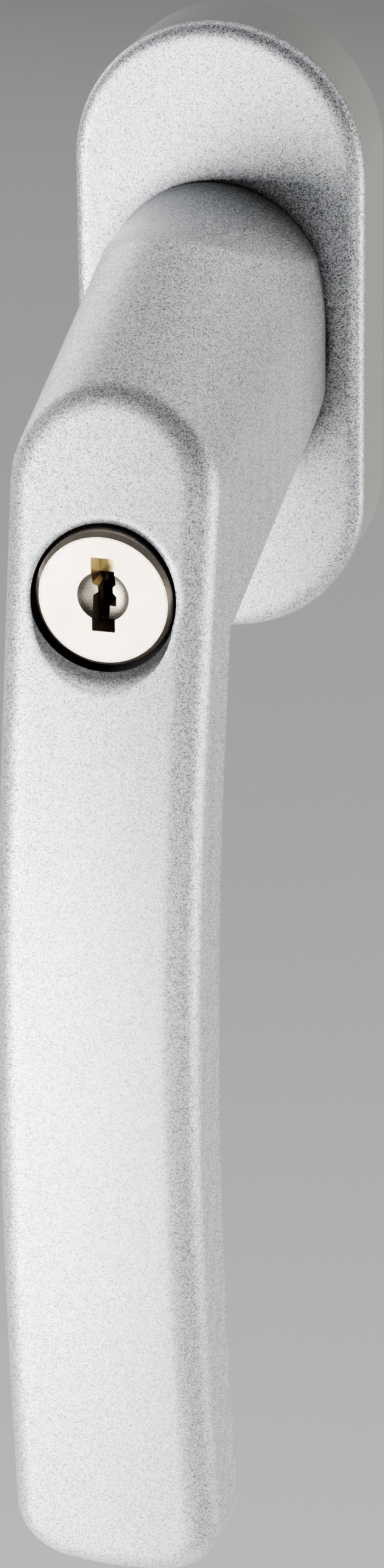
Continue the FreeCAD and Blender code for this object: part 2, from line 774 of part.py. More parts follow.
def shoulder_outline(depth):
    """The sloping top has lower shoulders than a half circle: half an ellipse, tallest at the rosette."""
    half = half_width_at(depth) + mm.flank_clearance.number
    rise = arch_rise_at(depth) + mm.flank_clearance.number
    spring_line = slope_top_at(depth) + mm.flank_clearance.number - rise
    turns = [math.pi / 2 * step / ARCH_STEPS for step in range(ARCH_STEPS * 2 + 1)]
    points = [FreeCAD.Vector(half * math.cos(turn), -depth, spring_line + rise * math.sin(turn))
              for turn in turns]
    arch = Part.BSplineCurve()
    arch.interpolate(points, Parameters=turns, InitialTangent=FreeCAD.Vector(0, 0, rise),
                     FinalTangent=FreeCAD.Vector(0, 0, -rise))
    return with_open_sides(arch, half, spring_line, depth)


def neck_outline(depth):
    """The neck's top is level and round."""
    half = half_width_at(depth) + mm.flank_clearance.number
    spring_line = mm.neck_top.number - mm.neck_half_width.number
    arch = Part.Arc(*[FreeCAD.Vector(x, -depth, z) for x, z in (
        (half, spring_line), (0, spring_line + half), (-half, spring_line))])
    return with_open_sides(arch, half, spring_line, depth)


def face_points():
    """The front face seen from the side, as (depth, height), from above the head to the bottom."""
    end_height = mm.grip_bottom.number - 5
    return [
        (mm.face_top_depth.number, mm.face_top_height.number),
        (lock_face_depth.number, mm.lock_height.number),
        (mm.face_knuckle_depth.number, mm.face_knuckle_height.number),
        (mm.face_middle_depth.number, mm.face_middle_height.number),
        (mm.face_lower_depth.number, mm.face_lower_height.number),
        (mm.face_end_depth.number, end_height)]


def side_point(depth, height, x=0.0):
    return FreeCAD.Vector(x, -depth, height)


def smooth_line(points):
    curve = Part.BSplineCurve()
    curve.interpolate([side_point(depth, height) for depth, height in points])
    return curve


def side_envelope():
    """All that lies behind the front face, with the lower rear edge rounded."""
    points = face_points()
    depth_end, height_end = points[-1]
    radius = mm.rear_edge_radius.number
    heel = depth_end - mm.grip_thickness.number + 1.2
    rise = mm.grip_bottom.number + radius
    heel_arc = Part.Arc(side_point(heel + radius, rise - radius),
                        side_point(heel + radius * (1 - math.sqrt(0.5)), rise - radius * math.sqrt(0.5)),
                        side_point(heel, rise))
    curves = [
        smooth_line(points),
        Part.LineSegment(side_point(depth_end, height_end), side_point(depth_end, height_end - 5)),
        Part.LineSegment(side_point(depth_end, height_end - 5), side_point(heel + radius, height_end - 5)),
        Part.LineSegment(side_point(heel + radius, height_end - 5), side_point(heel + radius, rise - radius)),
        heel_arc,
        Part.LineSegment(side_point(heel, rise), side_point(-10, mm.neck_bottom.number * 2)),
        Part.LineSegment(side_point(-10, mm.neck_bottom.number * 2), side_point(-10, points[0][1])),
        Part.LineSegment(side_point(-10, points[0][1]), side_point(*points[0]))]
    wire = Part.Wire(Part.__sortEdges__([curve.toShape() for curve in curves]))
    width = mm.cover_width.number
    face = Part.Face(wire)
    face.translate(FreeCAD.Vector(-width / 2, 0, 0))
    return face.extrude(FreeCAD.Vector(width, 0, 0))


def neck_bottom_at(depth):
    fall = math.tan(math.radians(mm.neck_under_angle.number))
    return mm.neck_bottom.number - fall * (depth - mm.neck_rear_depth.number)


def neck_trough():
    """The neck's underside is round and slopes down to the viewer."""
    clear = mm.flank_clearance.number * 4
    sections = []
    for depth in (mm.neck_rear_depth.number - 8, form_depth.number + 2):
        half = half_width_at(depth) + clear
        sections.append(trough(side_point(depth, neck_bottom_at(depth)), FreeCAD.Vector(0, 0, 1),
                               half, half - clear * 2))
    return Part.makeLoft(sections, True, True)


def grip_trough():
    """The back of the grip is flat with rounded edges and follows the bow of the front."""
    thickness = mm.grip_thickness.number
    points = [(depth - thickness, height) for depth, height in face_points()]
    points[1] = (mm.grip_root_depth.number, mm.lock_height.number)
    path = smooth_line(points)
    shell = Part.BRepOffsetAPI.MakePipeShell(Part.Wire([path.toShape()]))
    shell.setBiNormalMode(FreeCAD.Vector(1, 0, 0))
    for depth, height in points:
        tangent = path.tangent(path.parameter(side_point(depth, height)))[0]
        inward = tangent.cross(FreeCAD.Vector(1, 0, 0))
        half = flank_at(depth, height) + mm.flank_clearance.number * 2
        shell.add(trough(side_point(depth, height), inward, half, mm.rear_edge_radius.number))
    shell.build()
    shell.makeSolid()
    return shell.shape()


def trough(place, inward, half, corner):
    """A tall rectangle whose two lower corners are rounded."""
    height = form_depth.number

    def point(x, rise):
        return place + FreeCAD.Vector(x, 0, 0) + inward * rise

    bend = corner * (1 - math.sqrt(0.5))
    curves = [
        Part.LineSegment(point(half, height), point(half, corner)),
        Part.Arc(point(half, corner), point(half - bend, bend), point(half - corner, 0)),
        Part.LineSegment(point(half - corner, 0), point(corner - half, 0)),
        Part.Arc(point(corner - half, 0), point(bend - half, bend), point(-half, corner)),
        Part.LineSegment(point(-half, corner), point(-half, height)),
        Part.LineSegment(point(-half, height), point(half, height))]
    return Part.Wire([curve.toShape() for curve in curves])


def make_lever_form():
    """The casting's outside: what its envelopes share, with its front edge and its rim rounded."""
    rear, front = mm.neck_rear_depth.number, form_depth.number
    seen_from_front = Part.makeLoft([front_outline(rear), front_outline(front)], True, True)
    corners = [edge for edge in seen_from_front.Edges
               if all(abs(vertex.Z - corner_height_at(-vertex.Y)) < 0.01 for vertex in edge.Vertexes)
               and abs(edge.Vertexes[0].Y - edge.Vertexes[-1].Y) > 1]
    seen_from_front = seen_from_front.makeFillet(mm.grip_corner_radius.number, corners)
    round_top = Part.makeLoft([neck_outline(rear - 2), neck_outline(front + 2)], True, True)
    shape = seen_from_front.common(round_top).common(side_envelope())
    shape = shape.common(neck_trough().fuse(grip_trough()))
    front_face = max(shape.Faces, key=lambda face: -face.CenterOfMass.y * face.Area)
    shape = shape.makeFillet(mm.front_edge_radius.number, front_face.OuterWire.Edges)
    shoulders = Part.makeLoft([shoulder_outline(rear - 2), shoulder_outline(front + 2)], True, True)
    shape = shape.common(shoulders)
    rim = [edge for edge in shape.Edges if abs(edge.BoundBox.YMin + rear) < 0.001]
    form = doc.addObject("Part::Feature", "lever_form")
    form.Shape = shape.makeFillet(mm.neck_rear_rounding.number, rim)
    return form


def make_lever():
    rear = mm.neck_rear_depth
    lock = mm.lock_height
    collar = bar("lever_collar", mm.collar_radius, mm.collar_rear_depth, rear + mm.end_gap * 4)
    solid = fuse("lever_solid", make_lever_form(), collar)
    socket = spindle_half + mm.seat_fit
    groove_rear = clip_rear_depth - mm.seat_fit
    groove_front = clip_front_depth + mm.seat_fit
    groove = cut("lever_clip_groove",
                 bar("lever_groove_outside", mm.collar_radius + mm.end_gap, groove_rear, groove_front),
                 bar("lever_groove_floor", clip_inner_radius, groove_rear, groove_front))
    channel = mm.slider_half_width + mm.end_gap
    channel_rear = foot_rear_depth - mm.bolt_travel - mm.end_gap * 3
    seat_rear = plug_rear_depth - mm.end_gap
    pin_top = lock - mm.barrel_radius + mm.barrel_pin_bite
    tools = [
        groove,
        block("lever_spindle_socket", -socket, socket, mm.collar_rear_depth,
              mm.spindle_seat_depth + mm.end_gap, -socket, socket),
        rod_across("lever_spindle_pin_hole", mm.spindle_pin_radius + mm.seat_fit,
                   mm.collar_radius + mm.end_gap, mm.spindle_pin_depth),
        bar("lever_lock_mouth", mm.lock_mouth_radius, lock_mouth_depth, form_depth, 0, lock),
        taper("lever_lock_dish", mm.lock_mouth_radius, mm.lock_mouth_radius + 6,
              lock_face_depth + mm.lock_dish_rise, lock_face_depth + mm.lock_dish_rise + 6, 0, lock),
        bar("lever_lock_seat", lock_seat_radius, seat_rear, lock_mouth_depth, 0, lock),
        bar("lever_cam_bore", mm.cam_radius + mm.end_gap * 2, cam_rear_depth - mm.end_gap * 3,
            seat_rear, 0, lock),
        block("lever_slider_channel", -channel, channel, channel_rear, seat_rear,
              foot_bottom - mm.end_gap, slider_top + mm.end_gap),
        bar("lever_bolt_bore", bolt_hole_radius, rear, channel_rear, 0, -mm.bolt_circle),
        post("lever_barrel_pin_hole", mm.barrel_pin_radius + mm.seat_fit, 0, barrel_pin_depth,
             mm.neck_bottom * 2, pin_top)]
    return cut("lever", solid, *tools)


# Lock

def make_lock_barrel():
    lock = mm.lock_height
    band = lock_face_depth - mm.barrel_chamfer
    pin_top = lock - mm.barrel_radius + mm.barrel_pin_bite
    outside = fuse("barrel_outside",
                   bar("barrel_body", mm.barrel_radius, barrel_rear_depth, band, 0, lock),
                   taper("barrel_front", mm.barrel_radius, mm.barrel_radius - mm.barrel_chamfer,
                         band, lock_face_depth, 0, lock))
    return cut("lock_barrel", outside,
               bar("barrel_bore", mm.plug_radius + mm.running_fit, barrel_rear_depth,
                   lock_face_depth, 0, lock),
               bar("barrel_head_seat", mm.plug_head_radius + mm.running_fit,
                   plug_head_depth - mm.running_fit, lock_face_depth, 0, lock),
               post("barrel_pin_notch", mm.barrel_pin_radius + mm.seat_fit, 0, barrel_pin_depth,
                    lock - mm.barrel_radius * 2, pin_top + mm.seat_fit))


def make_barrel_pin():
    pin_top = mm.lock_height - mm.barrel_radius + mm.barrel_pin_bite
    return post("barrel_pin", mm.barrel_pin_radius, 0, barrel_pin_depth,
                pin_top - mm.barrel_pin_length, pin_top)


def wafer_place(number):
    """Front and rear depth of a wafer, counted from the face of the lock."""
    front = lock_face_depth - mm.wafer_first_setback - (number - 1) * mm.wafer_pitch
    return front, front - mm.wafer_thickness


def make_keyway():
    """The slot for the key, with a chamfered rib on both sides and a square ward low on the right."""
    half = mm.keyway_width / 2
    rib_top = mm.lock_height + mm.rib_lift + mm.rib_height / 2
    rib_bottom = rib_top - mm.rib_height
    ward_top = mm.lock_height - mm.ward_drop
    ward_bottom = ward_top - mm.ward_height
    left, right, ward = mm.left_rib_reach - half, half - mm.right_rib_reach, half - mm.ward_reach
    body = doc.addObject("PartDesign::Body", "plug_keyway")
    outline = sketch_at(body, "keyway_outline", lock_face_depth - mm.keyway_length)
    draw_outline(outline, [
        (-half, keyway_bottom), (half, keyway_bottom), (half, ward_bottom), (ward, ward_bottom),
        (ward, ward_top), (half, ward_top), (half, rib_bottom), (right, rib_bottom + mm.rib_chamfer),
        (right, rib_top - mm.rib_chamfer), (half, rib_top), (half, keyway_top), (-half, keyway_top),
        (-half, rib_top), (left, rib_top - mm.rib_chamfer), (left, rib_bottom + mm.rib_chamfer),
        (-half, rib_bottom)])
    pad(body, "keyway_length_pad", outline, mm.keyway_length)
    return body


def make_lock_plug():
    lock = mm.lock_height
    face = lock_face_depth
    solid = fuse("plug_outside",
                 bar("plug_head", mm.plug_head_radius, plug_head_depth, face, 0, lock),
                 bar("plug_body", mm.plug_radius, plug_rear_depth, plug_head_depth, 0, lock),
                 common("plug_tail",
                        bar("plug_tail_round", mm.tail_radius, tail_rear_depth, plug_rear_depth, 0, lock),
                        block("plug_tail_flats", -mm.tail_half_width, mm.tail_half_width,
                              tail_rear_depth, plug_rear_depth, lock - mm.tail_radius, lock + mm.tail_radius)))
    dish_radius = (mm.dimple_radius * mm.dimple_radius / mm.dimple_drop + mm.dimple_drop) / 2
    dimple = doc.addObject("Part::Sphere", "plug_dimple")
    bind(dimple, "Radius", dish_radius)
    set_place(dimple, 0, mm.dimple_drop - face - dish_radius, lock + mm.dimple_lift)
    groove_rear = plug_clip_rear - mm.seat_fit
    groove_front = plug_clip_front + mm.seat_fit
    groove = cut("plug_clip_groove",
                 bar("plug_groove_outside", mm.plug_radius + mm.end_gap, groove_rear, groove_front, 0, lock),
                 bar("plug_groove_floor", plug_clip_inner, groove_rear, groove_front, 0, lock))
    screw_hole = bar("plug_screw_hole", mm.cam_screw_radius + mm.seat_fit, tail_rear_depth,
                     cam_screw_seat + mm.cam_screw_thread_length + mm.end_gap * 3, 0, lock)
    slots = []
    reach = mm.wafer_width / 2 + mm.seat_fit
    for number in range(1, len(wafer_cuts) + 1):
        front, rear = wafer_place(number)
        slots.append(block(f"plug_wafer_slot_{number}", -reach, reach, rear - mm.seat_fit,
                           front + mm.seat_fit, lock - mm.plug_radius, lock + mm.plug_radius))
    return cut("lock_plug", solid, make_keyway(), dimple, groove, screw_hole, *slots)


def make_wafer(number):
    """A brass plate whose window stops short of the keyway's top by the depth of the key's cut."""
    front, rear = wafer_place(number)
    lock = mm.lock_height
    return cut(f"wafer_{number}",
               block(f"wafer_{number}_plate", -mm.wafer_width / 2, mm.wafer_width / 2, rear, front,
                     lock - mm.wafer_height / 2, lock + mm.wafer_height / 2),
               block(f"wafer_{number}_window", -mm.wafer_window_width / 2, mm.wafer_window_width / 2,
                     rear, front, keyway_bottom - mm.end_gap, keyway_top - wafer_cuts[number - 1]))


def make_cam_groove():
    """A left-handed screw channel. A quarter turn of the cam carries the follower by the bolt's travel."""
    pitch = mm.bolt_travel.number * 360 / mm.bolt_turn.number
    turn = mm.bolt_turn.number + 2 * mm.cam_run_out.number
    floor = mm.cam_groove_floor.number
    outside = mm.cam_radius.number + 0.8
    half = mm.cam_groove_half_width.number
    spine = Part.makeHelix(pitch, pitch * turn / 360, (floor + outside) / 2)
    corners = [(floor, -half), (outside, -half), (outside, half), (floor, half), (floor, -half)]
    profile = Part.makePolygon([FreeCAD.Vector(radius, 0, along) for radius, along in corners])
    sweep = Part.BRepOffsetAPI.MakePipeShell(Part.Wire(spine.Edges))
    sweep.setFrenetMode(True)
    sweep.add(profile)
    sweep.build()
    sweep.makeSolid()
    shape = sweep.shape()
    shape.rotate(FreeCAD.Vector(), FreeCAD.Vector(0, 0, 1), -mm.cam_run_out.number)
    shape = shape.transformGeometry(FreeCAD.Matrix(0, 1, 0, 0, 0, 0, 1, 0, 1, 0, 0, 0, 0, 0, 0, 1))
    shape = shape.mirror(FreeCAD.Vector(), FreeCAD.Vector(1, 0, 0))
    start = follower_depth.number + mm.bolt_travel.number * mm.cam_run_out.number / mm.bolt_turn.number
    shape.translate(FreeCAD.Vector(0, -start, mm.lock_height.number))
    groove = doc.addObject("Part::Feature", "cam_groove")
    groove.Shape = shape
    return groove


def make_cam_sleeve():
    lock = mm.lock_height
    tail_hole = common("cam_tail_hole",
                       bar("cam_tail_round", mm.tail_radius + mm.seat_fit, tail_rear_depth - mm.seat_fit,
                           cam_front_depth, 0, lock),
                       block("cam_tail_flats", -mm.tail_half_width - mm.seat_fit,
                             mm.tail_half_width + mm.seat_fit, tail_rear_depth - mm.seat_fit,
                             cam_front_depth, lock - mm.cam_radius, lock + mm.cam_radius))
    return cut("cam_sleeve",
               bar("cam_body", mm.cam_radius, cam_rear_depth, cam_front_depth, 0, lock),
               tail_hole,
               bar("cam_screw_hole", mm.cam_screw_radius + mm.seat_fit, cam_screw_seat,
                   tail_rear_depth, 0, lock),
               bar("cam_head_bore", mm.cam_screw_head_radius + mm.end_gap, cam_rear_depth,
                   cam_screw_seat, 0, lock),
               make_cam_groove())


def make_cam_screw():
    lock = mm.lock_height
    front = cam_screw_seat - mm.seat_fit
    rear = front - mm.cam_screw_head_length
    half = mm.cam_screw_head_radius
    return cut("cam_screw",
               fuse("cam_screw_turned",
                    bar("cam_screw_head", half, rear, front, 0, lock),
                    bar("cam_screw_shank", mm.cam_screw_radius, front,
                        cam_screw_seat + mm.cam_screw_thread_length, 0, lock)),
               block("cam_screw_slot", -half, half, rear, rear + mm.cam_screw_head_length / 2,
                     lock - mm.end_gap * 3, lock + mm.end_gap * 3))


# Locking bolt

def make_bolt_slider():
    arm = block("slider_arm", -mm.slider_half_width, mm.slider_half_width, foot_rear_depth,
                slider_front_depth, slider_bottom, slider_top)
    foot = block("slider_foot", -mm.slider_half_width, mm.slider_half_width, foot_rear_depth,
                 foot_front_depth, foot_bottom, slider_bottom)
    return cut("bolt_slider", fuse("slider_solid", arm, foot),
               bar("slider_bolt_hole", mm.bolt_radius + mm.seat_fit, foot_rear_depth,
                   foot_front_depth, 0, -mm.bolt_circle),
               post("slider_follower_hole", mm.follower_radius + mm.seat_fit, 0, follower_depth,
                    slider_bottom, slider_top))


def make_lock_bolt():
    tip = bolt_tip_depth + mm.bolt_tip_chamfer
    return fuse("lock_bolt",
                taper("bolt_tip", mm.bolt_radius - mm.bolt_tip_chamfer, mm.bolt_radius,
                      bolt_tip_depth, tip, 0, -mm.bolt_circle),
                bar("bolt_shank", mm.bolt_radius, tip, foot_front_depth, 0, -mm.bolt_circle))


def make_follower_pin():
    return post("follower_pin", mm.follower_radius, 0, follower_depth,
                mm.lock_height + mm.cam_groove_floor + mm.end_gap, slider_top - mm.end_gap)


# Pieces

pieces = [
    make_base_plate(),
    make_rosette_cover(),
    make_lock_ring(),
    make_collar_bush(),
    make_spring_carrier(),
    make_index_spring("left", -1),
    make_index_spring("right", 1),
    make_back_plate(),
    make_plate_screws(),
    make_spindle(),
    rod_across("spindle_pin", mm.spindle_pin_radius, mm.collar_radius - mm.end_gap, mm.spindle_pin_depth),
    make_index_hub(),
    make_circlip("collar_circlip", clip_inner_radius, mm.clip_radius, clip_rear_depth,
                 clip_front_depth, mm.clip_mouth),
    make_lever(),
    make_lock_barrel(),
    make_barrel_pin(),
    make_lock_plug(),
    *[make_wafer(number) for number in range(1, len(wafer_cuts) + 1)],
    make_circlip("plug_circlip", plug_clip_inner, mm.plug_clip_radius, plug_clip_rear,
                 plug_clip_front, mm.plug_clip_mouth, mm.lock_height),
    make_cam_sleeve(),
    make_cam_screw(),
    make_bolt_slider(),
    make_lock_bolt(),
    make_follower_pin()]
doc.recompute()

for thing in doc.Objects:
    if "Invalid" in thing.State or "Error" in thing.State:
        raise ValueError(f"{thing.Name} did not compute: {thing.State}")

os.makedirs("parts", exist_ok=True)
for piece in pieces:
    piece.Label = piece.Name
    if piece.Shape.isNull() or not piece.Shape.isValid():
        raise ValueError(f"{piece.Name} has no valid shape")
    piece.Shape.exportStep(f"parts/{piece.Name}.step")
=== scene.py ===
"""Looks of a locking window handle: lacquered castings, a moulded base, a nickel lock and zinc plating, with
shade painted into crevices, the dish and the lock.
"""

import math

import bmesh
import bpy
from mathutils import Matrix, Vector


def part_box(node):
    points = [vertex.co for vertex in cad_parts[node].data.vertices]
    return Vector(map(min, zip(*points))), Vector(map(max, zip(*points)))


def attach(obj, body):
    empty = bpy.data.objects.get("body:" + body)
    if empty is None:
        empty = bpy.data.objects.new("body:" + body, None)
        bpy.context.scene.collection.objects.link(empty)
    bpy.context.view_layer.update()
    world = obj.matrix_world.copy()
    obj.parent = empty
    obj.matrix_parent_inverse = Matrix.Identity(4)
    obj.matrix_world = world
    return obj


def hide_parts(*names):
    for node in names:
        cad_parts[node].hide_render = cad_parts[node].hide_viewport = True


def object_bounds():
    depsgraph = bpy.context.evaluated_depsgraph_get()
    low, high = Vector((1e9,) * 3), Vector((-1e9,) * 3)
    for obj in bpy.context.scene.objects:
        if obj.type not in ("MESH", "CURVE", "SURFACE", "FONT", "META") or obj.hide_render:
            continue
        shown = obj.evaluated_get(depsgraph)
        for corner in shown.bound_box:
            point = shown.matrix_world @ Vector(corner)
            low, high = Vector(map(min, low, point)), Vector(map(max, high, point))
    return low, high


bl_info = {
    "name": "Locking window handle",
    "version": (1, 0, 0),
    "blender": (4, 5, 0),
    "location": "View3D > Sidebar > Window handle",
    "description": "Dresses the packed window handle and sets up its studio",
    "category": "Object",
}

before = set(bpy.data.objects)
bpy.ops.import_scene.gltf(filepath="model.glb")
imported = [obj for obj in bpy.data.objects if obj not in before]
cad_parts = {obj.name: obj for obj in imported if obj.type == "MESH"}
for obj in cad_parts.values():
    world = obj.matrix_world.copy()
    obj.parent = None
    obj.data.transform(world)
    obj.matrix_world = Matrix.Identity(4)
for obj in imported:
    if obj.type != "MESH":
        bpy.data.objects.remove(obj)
cad_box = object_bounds()

MM = 0.001

# Camera
SENSOR = 36.0
PHOTO_HEIGHT = 2576

# Studio
WHITE = (1.0, 1.0, 1.0)
WARM = (1.0, 0.95, 0.88)
LIGHT_AIM = Vector((0.0, -0.03, -0.05))
LIGHT_DISTANCE = 0.8
FLOOR_REACH = 4.0
FLOOR_LIGHT_WIDTH = 5.0
FLOOR_LIGHT_HEIGHT = 0.4

# Which way the lever's front looks beside the lock
HEAD_FRONT = (0.0, -0.982, 0.187)
# The facing at which the crown of the front starts, and at which it is full
CROWN_START = -0.45
CROWN_FULL = -0.9
# A surface that leans towards the lock's axis by more than this belongs to the dish
DISH_LEAN = -0.5
# The openness at which the painted crevice shade is darkest
CLOSED = 0.42
# Pairs of how squarely the plug's surface faces the front, and the brightness of its painted shade
PLUG_PAINTED_SHADES = ((0.0, 0.75), (0.5, 0.4), (0.88, 0.14), (0.985, 1.0))

# Shader sockets
FLOAT = "NodeSocketFloat"
VECTOR = "NodeSocketVector"
COLOR = "NodeSocketColor"
GREY = (0.8, 0.8, 0.8, 1.0)
# A Mix node's two inputs and its output, for each kind of data
MIX_SOCKETS = {"FLOAT": (2, 3, 0), "VECTOR": (4, 5, 1), "RGBA": (6, 7, 2)}

SCREW_SEGMENTS = 40


def direction(azimuth, elevation):
    """The unit vector towards a place in the studio. Azimuth 0 is in front, and it grows to the right."""
    return Vector((math.sin(azimuth) * math.cos(elevation), -math.cos(azimuth) * math.cos(elevation),
                   math.sin(elevation)))


def rgba(color):
    """A colour with full cover."""
    return (*color, 1.0)


# Settings

class CameraSettings(bpy.types.PropertyGroup):
    """Where the viewer stands."""

    azimuth: bpy.props.FloatProperty(
        name="Azimuth", description="Turn of the camera to the handle's right",
        default=math.radians(15.35), subtype="ANGLE")
    elevation: bpy.props.FloatProperty(
        name="Elevation", description="Height of the camera above the horizon",
        default=math.radians(23.83), subtype="ANGLE")
    roll: bpy.props.FloatProperty(
        name="Roll", description="Lean of the picture", default=math.radians(-0.67), subtype="ANGLE")
    distance: bpy.props.FloatProperty(
        name="Distance", description="From the camera to the point it looks at",
        default=0.65, min=0.1, subtype="DISTANCE", unit="LENGTH")
    target: bpy.props.FloatVectorProperty(
        name="Target", description="The point in the middle of the picture",
        default=(-0.27 * MM, -25.0 * MM, -52.79 * MM), subtype="XYZ", unit="LENGTH")
    pixels_per_mm: bpy.props.FloatProperty(
        name="Pixels per millimetre", description="Scale of the picture at the target",
        default=13.66, min=1.0)


class StudioSettings(bpy.types.PropertyGroup):
    """Floor and light. Each light's strength is the brightness of its soft box."""

    floor_drop: bpy.props.FloatProperty(
        name="Floor drop", description="Gap between the grip's end and the floor",
        default=0.55, min=0.0, subtype="DISTANCE", unit="LENGTH")
    floor_color: bpy.props.FloatVectorProperty(
        name="Floor colour", description="Pale grey paper", default=(0.78, 0.78, 0.77),
        min=0.0, max=1.0, subtype="COLOR")
    world_color: bpy.props.FloatVectorProperty(
        name="Room colour", description="Soft light from the room", default=(0.95, 0.97, 1.0),
        min=0.0, max=1.0, subtype="COLOR")
    world_strength: bpy.props.FloatProperty(
        name="Room light", description="Strength of the room's light", default=0.11, min=0.0)
    key_strength: bpy.props.FloatProperty(
        name="Key light", description="Large soft box in front, low on the left", default=18.0, min=0.0)
    fill_strength: bpy.props.FloatProperty(
        name="Fill light", description="Soft box in front on the right", default=2.2, min=0.0)
    back_strength: bpy.props.FloatProperty(
        name="Back light", description="Soft box on the right behind the handle, higher than the edge light",
        default=1.0, min=0.0)
    top_strength: bpy.props.FloatProperty(
        name="Top light", description="Soft box over and behind the handle", default=1.3, min=0.0)
    left_strength: bpy.props.FloatProperty(
        name="Left light", description="Soft box on the left behind the handle", default=3.3, min=0.0)
    edge_strength: bpy.props.FloatProperty(
        name="Edge light", description="Warm soft box on the right behind the handle", default=8.5,
        min=0.0)
    floor_strength: bpy.props.FloatProperty(
        name="Floor light", description="Wide soft box that lights the floor from above", default=0.35,
        min=0.0)


class LacquerSettings(bpy.types.PropertyGroup):
    """Silver lacquer of the lever and the cover."""

    color: bpy.props.FloatVectorProperty(
        name="Colour", description="Silver of the lever", default=(0.610, 0.622, 0.645), min=0.0,
        max=1.0, subtype="COLOR")
    # The cover's silver is the lever's lacquer darkened with painted shade
    cover_shaded_color: bpy.props.FloatVectorProperty(
        name="Cover colour", description="Silver of the rosette's cover", default=(0.512, 0.525, 0.548),
        min=0.0, max=1.0, subtype="COLOR")
    metallic: bpy.props.FloatProperty(
        name="Metallic", description="How metallic the flakes look", default=0.80, min=0.0, max=1.0)
    roughness: bpy.props.FloatProperty(
        name="Roughness", description="Satin", default=0.45, min=0.0, max=1.0)
    roughness_spread: bpy.props.FloatProperty(
        name="Roughness spread", description="How far the roughness varies either way", default=0.04,
        min=0.0, max=1.0)
    peel_height: bpy.props.FloatProperty(
        name="Peel height", description="Height of the lacquer's orange peel", default=0.004 * MM,
        min=0.0, subtype="DISTANCE", unit="LENGTH")
    coat: bpy.props.FloatProperty(
        name="Clear coat", description="Weight of the clear coat", default=0.08, min=0.0, max=1.0)
    coat_roughness: bpy.props.FloatProperty(
        name="Coat roughness", description="Roughness of the clear coat", default=0.30, min=0.0, max=1.0)
    flake_size: bpy.props.FloatProperty(
        name="Flake size", description="Size of the metal flakes in the lacquer",
        default=0.11 * MM, min=0.01 * MM, subtype="DISTANCE", unit="LENGTH")
    flake_lean: bpy.props.FloatProperty(
        name="Flake lean", description="How much the flakes' directions differ", default=0.15,
        min=0.0, max=1.0)
    flake_contrast: bpy.props.FloatProperty(
        name="Flake contrast", description="How much the lever's flakes differ in brightness",
        default=1.6, min=0.0, max=1.8)
    cover_flake_contrast: bpy.props.FloatProperty(
        name="Cover flake contrast", description="How much the cover's flakes differ in brightness",
        default=1.8, min=0.0, max=1.8)
    rounding: bpy.props.FloatProperty(
        name="Rounding", description="Radius over which the lacquer evens out its edges",
        default=1.5 * MM, min=0.0, subtype="DISTANCE", unit="LENGTH")
    crown: bpy.props.FloatProperty(
        name="Crown", description="Curvature across the lever's front, one over its radius",
        default=11.0, min=0.0)
    # Reach and brightness of the shade painted into the lacquer's crevices
    crevice_reach: bpy.props.FloatProperty(
        name="Crevice reach", description="How far from a neighbouring surface the lever darkens",
        default=7.0 * MM, min=0.0, subtype="DISTANCE", unit="LENGTH")
    crevice_darkest: bpy.props.FloatProperty(
        name="Crevice brightness", description="Brightness left in the lever's crevices", default=0.12,
        min=0.0, max=1.0)
    cover_crevice_reach: bpy.props.FloatProperty(
        name="Cover crevice reach", description="How far from a neighbouring surface the cover darkens",
        default=4.0 * MM, min=0.0, subtype="DISTANCE", unit="LENGTH")
    cover_crevice_darkest: bpy.props.FloatProperty(
        name="Cover crevice brightness", description="Brightness left in the cover's crevices",
        default=0.45, min=0.0, max=1.0)
    # Painted shade on the neck, darker towards the cover
    neck_shade: bpy.props.FloatProperty(
        name="Neck shade", description="How far in front of the cover the neck starts to darken",
        default=16.0 * MM, min=0.0, subtype="DISTANCE", unit="LENGTH")
    neck_darkest: bpy.props.FloatProperty(
        name="Neck brightness", description="Brightness left where the neck meets the cover", default=0.5,
        min=0.0, max=1.0)
    # Radii of the painted shade in the dish round the lock
    dish_inner: bpy.props.FloatProperty(
        name="Dish inner radius", description="Where the dish round the lock is darkest",
        default=8.9 * MM, min=0.0, subtype="DISTANCE", unit="LENGTH")
    dish_outer: bpy.props.FloatProperty(
        name="Dish outer radius", description="Where the dish round the lock has the front's brightness",
        default=11.6 * MM, min=0.0, subtype="DISTANCE", unit="LENGTH")
    dish_margin: bpy.props.FloatProperty(
        name="Dish margin", description="How far past its outer radius the dish is looked for",
        default=2.0 * MM, min=0.0, subtype="DISTANCE", unit="LENGTH")


class MetalSettings(bpy.types.PropertyGroup):
    """Bare and plated metals."""

    nickel: bpy.props.FloatVectorProperty(
        name="Nickel", description="Plating of the lock", default=(0.74, 0.63, 0.50), min=0.0, max=1.0,
        subtype="COLOR")
    zinc: bpy.props.FloatVectorProperty(
        name="Zinc", description="Plating of steel pieces", default=(0.62, 0.64, 0.66), min=0.0,
        max=1.0, subtype="COLOR")
    spring: bpy.props.FloatVectorProperty(
        name="Spring steel", description="Tempered and oiled", default=(0.30, 0.31, 0.33), min=0.0,
        max=1.0, subtype="COLOR")
    brass: bpy.props.FloatVectorProperty(
        name="Brass", description="Stamped wafers", default=(0.80, 0.67, 0.24), min=0.0, max=1.0,
        subtype="COLOR")
    cast: bpy.props.FloatVectorProperty(
        name="Cast zinc", description="Bare die casting", default=(0.48, 0.49, 0.51), min=0.0,
        max=1.0, subtype="COLOR")


